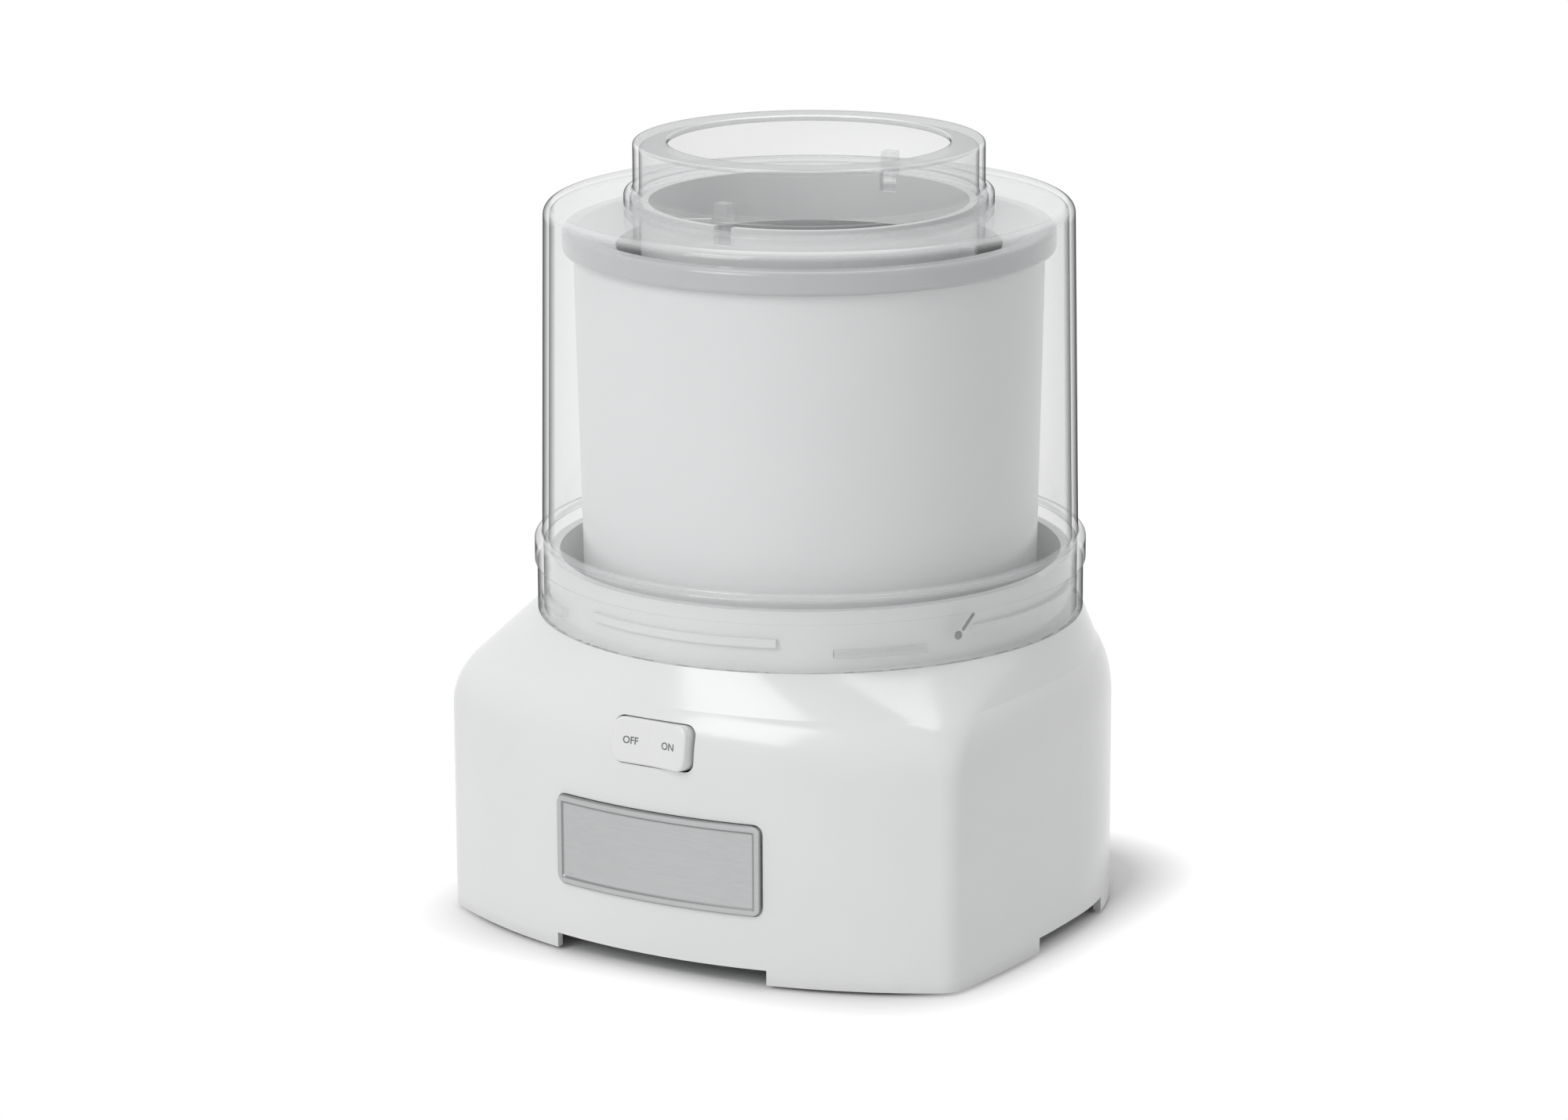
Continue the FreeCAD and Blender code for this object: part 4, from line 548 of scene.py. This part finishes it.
mark_round = SKIRT_RADIUS * MARK_BEARING
wrapped_mark("lock_dot", (mark_round, DOT_HEIGHT), (mark_round + 0.01, DOT_HEIGHT), DOT_WIDTH)
wrapped_mark("lock_stroke", (mark_round + 2.2, 124.6), (mark_round + 6.4, 129.4), STROKE_WIDTH)

# %% [markdown]
# ## Bowl: wall, rim and liner
# The freezer bowl is a body of revolution, so each part is a profile of radius and height turned
# round the axis. Drawing the profile with rounded corners gives the soft light lines that a
# moulded rim shows, and many columns keep the tall wall free of facets.

# %% Turned pieces
COLUMNS, OPEN_STEPS = 224, 8


def add_turned(name, profile, body, slot, closed, node):
    """A turned piece in place of a CAD node: closed profiles make rings, open ones get flat end caps."""
    rows = len(profile)
    faces = grid_quads(rows, COLUMNS, wrap_rows=closed, wrap_columns=True)
    caps = [] if closed else end_caps(rows, COLUMNS)
    piece = add_piece(name, turned(profile, COLUMNS), faces, body, slot, caps)
    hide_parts(node)
    return piece


def open_profile(corners):
    """A rounded profile that starts and ends at its first and last corners instead of closing."""
    points = rounded_profile(corners, OPEN_STEPS).reshape(len(corners), -1, 2)
    ends = np.array(corners, float)[[0, -1], :2]
    return np.vstack([ends[:1], points[1:-1].reshape(-1, 2), ends[1:]])


SOCKET_PLAY, SOCKET_WALL = 0.5, 3
HUB_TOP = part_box("drive_hub")[1].z / MM
SOCKET_TOP = HUB_TOP + SOCKET_PLAY
SOCKET_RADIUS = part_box("drive_hub")[1].x / MM + SOCKET_PLAY
BOWL_BASE, BOWL_WALL_TOP = 83.0, 86.2
RIM_RADIUS, RIM_TOP_WIDTH = 90.3, 6.5
BOWL_WALL, BOWL_FLOOR = 2.2, BOWL_LOW + 2.5
LINER_BASE, LINER_TOP_RADIUS, LINER_FLOOR = 67.5, 70.5, 119.0
LINER_WALL, LINER_LIP = 1.6, LINER_TOP_RADIUS + 9.4
AXIS_GAP = 1.5
bowl_wall = open_profile([
    (AXIS_GAP, SOCKET_TOP, 0), (SOCKET_RADIUS, SOCKET_TOP, 0.6), (SOCKET_RADIUS, BOWL_LOW, 0.6),
    (BOWL_BASE, BOWL_LOW, 7.0), (BOWL_WALL_TOP, RIM_LOW, 0.1), (BOWL_WALL_TOP - BOWL_WALL, RIM_LOW, 0.1),
    (BOWL_BASE - BOWL_WALL, BOWL_FLOOR, 4.8), (SOCKET_RADIUS + SOCKET_WALL, BOWL_FLOOR, 0.6),
    (SOCKET_RADIUS + SOCKET_WALL, HUB_TOP + SOCKET_WALL, 2.0), (AXIS_GAP, HUB_TOP + SOCKET_WALL, 0)])
add_turned("bowl_wall", bowl_wall, "bowl", "bowl_white", False, "bowl_shell")
bowl_rim = rounded_profile([
    (LINER_TOP_RADIUS, RIM_LOW, 0.2), (RIM_RADIUS, RIM_LOW, 2.0), (RIM_RADIUS, BOWL_TOP, 2.0),
    (RIM_RADIUS - RIM_TOP_WIDTH, BOWL_TOP, 2.0), (LINER_TOP_RADIUS, RIM_LOW + 2, 0.5)])
add_turned("bowl_rim", bowl_rim, "bowl", "rim_grey", True, "bowl_rim_ring")
bowl_lining = open_profile([
    (AXIS_GAP, LINER_FLOOR - LINER_WALL, 0), (LINER_BASE + LINER_WALL, LINER_FLOOR - LINER_WALL, 11.6),
    (LINER_TOP_RADIUS + LINER_WALL, RIM_LOW - LINER_WALL, 0.3), (LINER_LIP, RIM_LOW - LINER_WALL, 0.2),
    (LINER_LIP, RIM_LOW, 0.2), (LINER_TOP_RADIUS, RIM_LOW, 0.3), (LINER_BASE, LINER_FLOOR, 10.0),
    (AXIS_GAP, LINER_FLOOR, 0)])
add_turned("bowl_lining", bowl_lining, "bowl", "bowl_metal", False, "bowl_liner")

# %% [markdown]
# ## Lid: wall and chimney
# The lid is one clear wall: a skirt over the base's collar, a band that strengthens it, the tall
# side, a flat shoulder and the chimney that the mix is poured through. The inside and the
# outside are both there, because a clear wall shows its thickness at every corner.

# %% Lid
WALL, LID_STEPS, LID_SUPPORT = 2.3, 8, 0.15
BAND_RADIUS, BAND_LOW = 101.8, 130.5
FOOT_RADIUS, SHOULDER_RADIUS, LID_CORNER = 99.0, 97.0, 4.0
CHIMNEY_RADIUS, COVE_RADIUS, COVE_HEIGHT = 64.2, 67.6, 5.0
MOUTH_RADIUS, MOUTH_THICK = 51.5, 2.2
NECK = COVE_RADIUS - WALL
lid_wall = rounded_profile([
    (SKIRT_RADIUS - WALL, LEDGE_Z, 0.5), (SKIRT_RADIUS, LEDGE_Z, 0.5), (SKIRT_RADIUS, BAND_LOW, 0.4),
    (BAND_RADIUS, BAND_LOW, 0.4), (BAND_RADIUS, BAND_TOP, 1.5), (FOOT_RADIUS, BAND_TOP, 1.0),
    (SHOULDER_RADIUS, LID_SHOULDER, LID_CORNER), (NECK, LID_SHOULDER, 0.02),
    (NECK, LID_SHOULDER - WALL, 0.8), (SHOULDER_RADIUS - WALL, LID_SHOULDER - WALL, LID_CORNER - WALL),
    (FOOT_RADIUS - WALL, BAND_TOP - WALL, 1.0), (SKIRT_RADIUS - WALL, BAND_TOP - WALL, 1.0)],
    LID_STEPS, LID_SUPPORT)
add_turned("lid_wall", lid_wall, "lid", "clear_lid", True, "lid")
cove_top = LID_SHOULDER + COVE_HEIGHT
chimney = rounded_profile([
    (NECK, LID_SHOULDER, 0.02), (COVE_RADIUS, LID_SHOULDER, 0.02), (COVE_RADIUS, cove_top, 2.0),
    (CHIMNEY_RADIUS, cove_top, 1.0), (CHIMNEY_RADIUS, LID_TOP, 1.2), (MOUTH_RADIUS, LID_TOP, 0.8),
    (MOUTH_RADIUS, LID_TOP - MOUTH_THICK, 0.8), (CHIMNEY_RADIUS - WALL, LID_TOP - MOUTH_THICK, 1.0),
    (CHIMNEY_RADIUS - WALL, cove_top - WALL, 1.0), (NECK, cove_top - WALL, 0.8)],
    LID_STEPS, LID_SUPPORT)
add_turned("chimney", chimney, "lid", "clear_lid", True, "lid_chimney")

# %% [markdown]
# ## Lid: tabs and keys
# Four tabs inside the skirt go between the collar's ribs, and two keys inside the chimney hold
# the paddle's ring still. Each is a small section swept along an arc.

# %% Tabs and keys
BAR_ROUND, BAR_ROWS = 0.4, 25
TAB_RADII, TAB_HEIGHTS, TAB_HALF_ANGLE = (97.0, 99.7), (LEDGE_Z + 5, LEDGE_Z + 8), 10
KEY_RADII, KEY_HEIGHTS, KEY_HALF_ANGLE = (57.4, 62.6), (258.0, 272.5), 2.4


def add_bars(name, radii, heights, middles, half_angle, body, slot):
    """Bars of a rounded rectangle section carried along arcs round the axis, with closed ends."""
    (inner, outer), (low, high) = radii, heights
    corners = [(inner, low), (outer, low), (outer, high), (inner, high)]
    section = rounded_profile([(r, z, BAR_ROUND) for r, z in corners], 4, 0.2)
    sweep = np.linspace(-half_angle, half_angle, BAR_ROWS)
    angle = np.radians(np.array(middles)[:, None, None] + sweep[:, None])
    r, z = section[:, 0], section[:, 1]
    points = np.stack([r * np.cos(angle), r * np.sin(angle), z + 0 * angle], axis=-1)
    bars, rows, columns = points.shape[:3]
    starts = [bar * rows * columns for bar in range(bars)]
    one = grid_quads(rows, columns, wrap_columns=True)[:, ::-1]
    faces = np.concatenate([one + start for start in starts])
    ends = [cap[::-1] for cap in end_caps(rows, columns)]
    caps = [[start + corner for corner in cap] for start in starts for cap in ends]
    return add_piece(name, points, faces, body, slot, caps)


add_bars("lid_tabs", TAB_RADII, TAB_HEIGHTS, [45, 135, 225, 315], TAB_HALF_ANGLE, "lid", "clear_lid")
add_bars("lid_keys", KEY_RADII, KEY_HEIGHTS, [90, 270], KEY_HALF_ANGLE, "lid", "clear_lid")

# %% [markdown]
# ## Plate and rocker as stacked loops
# A plate with rounded corners and a raised border is a stack of outlines: each one is the same
# rounded rectangle drawn in a little, at its own height. Bending the stack round the front wall's
# circle makes the plate, and lifting its face into a shallow V makes the rocker.

# %% Stacked loops
def rounded_loop(half_x, half_y, corner, count=176):
    """Points round a rectangle with arcs for corners: its length is walked in equal steps."""
    corners = [(half_x, -half_y, corner), (half_x, half_y, corner),
               (-half_x, half_y, corner), (-half_x, -half_y, corner)]
    edge = rounded_profile(corners, 12, 0.01)
    closed = np.vstack([edge, edge[:1]])
    walked = np.concatenate([[0], np.cumsum(np.linalg.norm(np.diff(closed, axis=0), axis=1))])
    at = np.linspace(0, walked[-1], count, endpoint=False)
    return np.stack([np.interp(at, walked, closed[:, 0]), np.interp(at, walked, closed[:, 1])], axis=-1)


def stacked(half_x, half_y, corner, rows):
    """Loops for rows of (scale, inset): drawn in by the inset, then shrunk towards the middle."""
    return np.stack([scale * rounded_loop(half_x - draw, half_y - draw, max(corner - draw, 0.5))
                     for scale, draw in rows])


def add_stack(name, points, body, slot, node):
    """A stack of loops in place of a CAD node, closed at both ends."""
    rows, count = points.shape[:2]
    quads = grid_quads(rows, count, wrap_columns=True)
    piece = add_piece(name, points, quads, body, slot, end_caps(rows, count))
    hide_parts(node)
    return piece


# %% [markdown]
# ### Name plate
# A bare silver plate, slightly bent, with a rounded outer edge, a flat border and a sunk panel.

# %% Name plate
FRONT_RADIUS, PLATE_HALF_WIDTH, PLATE_CORNER = 200.0, 42.7, 3.5
plate_low, plate_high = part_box("name_plate")[0].z / MM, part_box("name_plate")[1].z / MM
plate_middle, plate_half_height = (plate_low + plate_high) / 2, (plate_high - plate_low) / 2
PLATE_SINK, PLATE_PROUD, PANEL_SINK = -1.2, 1.5, 0.55
PANEL = PLATE_PROUD - PANEL_SINK
# Each row: scale, inset from the outline, height over the wall.
plate_rows = np.array([
    (0.02, 0.0, PLATE_SINK), (0.5, 0.0, PLATE_SINK), (1.0, 0.0, PLATE_SINK),
    (1.0, 0.0, PLATE_PROUD - 0.7), (1.0, 0.09, PLATE_PROUD - 0.35), (1.0, 0.30, PLATE_PROUD - 0.1),
    (1.0, 0.65, PLATE_PROUD), (1.0, 2.3, PLATE_PROUD), (1.0, 2.5, PLATE_PROUD - 0.06),
    (1.0, 2.62, PLATE_PROUD - 0.2), (1.0, 2.8, PANEL + 0.08), (1.0, 3.0, PANEL),
    (0.94, 3.0, PANEL), (0.6, 3.0, PANEL), (0.3, 3.0, PANEL), (0.02, 3.0, PANEL)])
flat = stacked(PLATE_HALF_WIDTH, plate_half_height, PLATE_CORNER, plate_rows[:, :2])
lift = FRONT_RADIUS + plate_rows[:, 2:]
bend = flat[..., 0] / FRONT_RADIUS
plate_points = np.stack([lift * np.sin(bend), FRONT_RADIUS - BASE_FRONT - lift * np.cos(bend),
                         plate_middle + flat[..., 1]], axis=-1)
add_stack("plate", plate_points, "base", "silver_plate", "name_plate")

# Painted shade darkens the foot of the border and the plate's outer edge, where the groove and the edge
# would lie in shadow.
BORDER_FOOT, EDGE_SHADE_MOST = 2.7, 0.6
silver = finishes["silver_plate"]
plate_x, plate_z = silver.along("X"), silver.along("Z") - plate_middle * MM
past_x = (plate_x * plate_x) ** 0.5 - (PLATE_HALF_WIDTH - BORDER_FOOT) * MM
past_z = (plate_z * plate_z) ** 0.5 - (plate_half_height - BORDER_FOOT) * MM
past = silver.maximum(past_x, past_z)
groove = silver.span(past, -0.0007, -0.0001) * silver.span(past, 0.0002, 0.0006, 1.0, 0.0)
painted_edge_shade = silver.maximum(groove, silver.span(past, 0.0019, 0.0025))
silver.overlaid(EDGE_SHADE_MOST * painted_edge_shade, tint(0.12, 0.12, 0.12))

# %% [markdown]
# ### Rocker
# The rocker's two halves slope up from the middle, and its underside is cut away at both ends so
# that it can tip. Its edges are rounded where a finger presses.

# %% Rocker
ROCKER_HALF, ROCKER_HALF_HEIGHT, ROCKER_CORNER, ROCKER_DEEP, EDGE = 16.0, 8.25, 4.0, 7.5, 1.0
UNDERCUT_SLOPE = 0.25
ease = np.linspace(0, math.pi / 2, 6)
same = np.ones_like(ease)
# Each row: scale, inset from the outline, height over the face or the underside, 1 for the face.
edge_rows = np.stack([same, EDGE * (1 - np.cos(ease)), EDGE * (np.sin(ease) - 1), same], axis=-1)
under_rows = [(0.02, 0.3, 0.0, 0.0), (0.55, 0.3, 0.0, 0.0), (1.0, 0.3, 0.0, 0.0), (1.0, 0.0, 0.3, 0.0)]
face_rows = [(scale, EDGE, 0.0, 1.0) for scale in (0.9, 0.6, 0.3, 0.02)]
rocker_rows = np.vstack([under_rows, edge_rows, face_rows])
loops = stacked(ROCKER_HALF, ROCKER_HALF_HEIGHT, ROCKER_CORNER, rocker_rows[:, :2])
out_from_middle = np.abs(loops[..., 0])
face = FACE_PROUD + out_from_middle * math.tan(ROCKER_TILT)
under = -ROCKER_DEEP + UNDERCUT_SLOPE * np.maximum(out_from_middle - ROCKER_HALF / 2, 0)
levels = np.where(rocker_rows[:, 3:] > 0.5, face, under) + rocker_rows[:, 2:3]
local = np.concatenate([loops, levels[..., None], np.ones_like(levels)[..., None]], axis=-1)
rocker_points = (local @ np.array(tilted).T)[..., :3]
add_stack("rocker_cap", rocker_points, "rocker", "white_rocker", "switch_rocker")

# %% [markdown]
# ## Floor, light and camera
# The picture is a studio shot on white. The floor is pale and catches the shadow; wherever a
# camera, glossy or see-through ray sees it away from the object it reads as white paper. Three
# large soft lamps give the broad reflections, at a level where a colour renders as it is written.

# %% Floor
FLOOR_REACH = 6.0
SHADOW_START, SHADOW_END = 0.104, 0.125
floor_mesh = bpy.data.meshes.new("floor")
sheet = [(-1, -1, 0), (1, -1, 0), (1, 1, 0), (-1, 1, 0)]
floor_mesh.from_pydata((FLOOR_REACH * np.array(sheet)).tolist(), [], [[0, 1, 2, 3]])
floor = bpy.data.objects.new("floor", floor_mesh)
bpy.context.scene.collection.objects.link(floor)

paper = Finish("paper", {"Roughness": 0.9, "Specular IOR Level": 0.1})
fibre = paper.noise(400.0, 4.0)
paper.feed("Base Color", paper.mixed(fibre, tint(0.86, 0.86, 0.86), tint(0.82, 0.82, 0.82)))
# Distance from the middle, with squarish contours that follow the footprint's corners.
x_place, y_place = paper.along("X"), paper.along("Y")
x_square, y_square = x_place * x_place, y_place * y_place
spot = (x_square * x_square + y_square * y_square) ** 0.25
glow = paper.node("ShaderNodeEmission", {}, {"Color": tint(1, 1, 1), "Strength": 1.0})
paper.covered(paper.seen_directly() * paper.span(spot, SHADOW_START, SHADOW_END), glow)
floor_mesh.materials.append(paper.material)
print("floor reaches", FLOOR_REACH, "m each way")

# %% World
AMBIENT = 0.42
world = bpy.data.worlds.new("studio")
bpy.context.scene.world = world
world.use_nodes = True
studio = Graph(world.node_tree)
backdrop = studio.tree.nodes["Background"]
backdrop.inputs["Color"].default_value = tint(1, 1, 1)
strength = studio.span(studio.seen_directly(), 0.0, 1.0, AMBIENT, 1.0)
studio.tree.links.new(strength.socket, backdrop.inputs["Strength"])
print("world lights at", AMBIENT, "and shows white")


# %% Lamps
def softbox(name, place, aim, width, tall, watts):
    """A rectangular lamp at a point, turned to face another."""
    lamp = bpy.data.lights.new(name, "AREA")
    lamp.shape = "RECTANGLE"
    lamp.size, lamp.size_y, lamp.energy = width, tall, watts
    holder = bpy.data.objects.new(name, lamp)
    bpy.context.scene.collection.objects.link(holder)
    facing_way = Vector(aim) - Vector(place)
    turn = facing_way.to_track_quat("-Z", "Y")
    holder.matrix_world = Matrix.Translation(place) @ turn.to_matrix().to_4x4()
    print(name, "gives", watts, "W")
    return holder


softbox("key_lamp", (-0.35, -1.65, 1.25), (0, 0, 0.14), 0.9, 1.2, 14.0)
softbox("side_lamp", (1.5, -0.5, 0.8), (0, 0, 0.15), 0.35, 1.3, 0.6)
softbox("top_lamp", (-0.1, 0.2, 1.7), (0, 0, 0.2), 1.2, 0.9, 9.0)

# %% Camera
# The lens and place come from fitting a pinhole camera to the photo's edges.
BEARING = math.radians(30.21)
DISTANCE, HEIGHT = 1.96992, 0.63584
PITCH, YAW, ROLL = math.radians(14.449), math.radians(-0.283), math.radians(-0.258)
SENSOR_WIDTH, LENS = 36.0, 126.1
camera_data = bpy.data.cameras.new("camera")
camera_data.sensor_width, camera_data.lens = SENSOR_WIDTH, LENS
camera = bpy.data.objects.new("camera", camera_data)
bpy.context.scene.collection.objects.link(camera)
ahead = Vector((math.sin(YAW) * math.cos(PITCH), math.cos(YAW) * math.cos(PITCH), -math.sin(PITCH)))
across = Vector((math.cos(YAW), -math.sin(YAW), 0))
upward = across.cross(ahead)
level_across = across * math.cos(ROLL) + upward * math.sin(ROLL)
level_up = upward * math.cos(ROLL) - across * math.sin(ROLL)
axes = Matrix((level_across, level_up, -ahead)).transposed().to_4x4()
stand = Matrix.Translation((0, -DISTANCE, HEIGHT)) @ axes
camera.matrix_world = Matrix.Rotation(BEARING, 4, "Z") @ stand
bpy.context.scene.camera = camera
bpy.context.scene.view_settings.view_transform = "Standard"
print("camera at", [round(x, 4) for x in camera.matrix_world.translation])
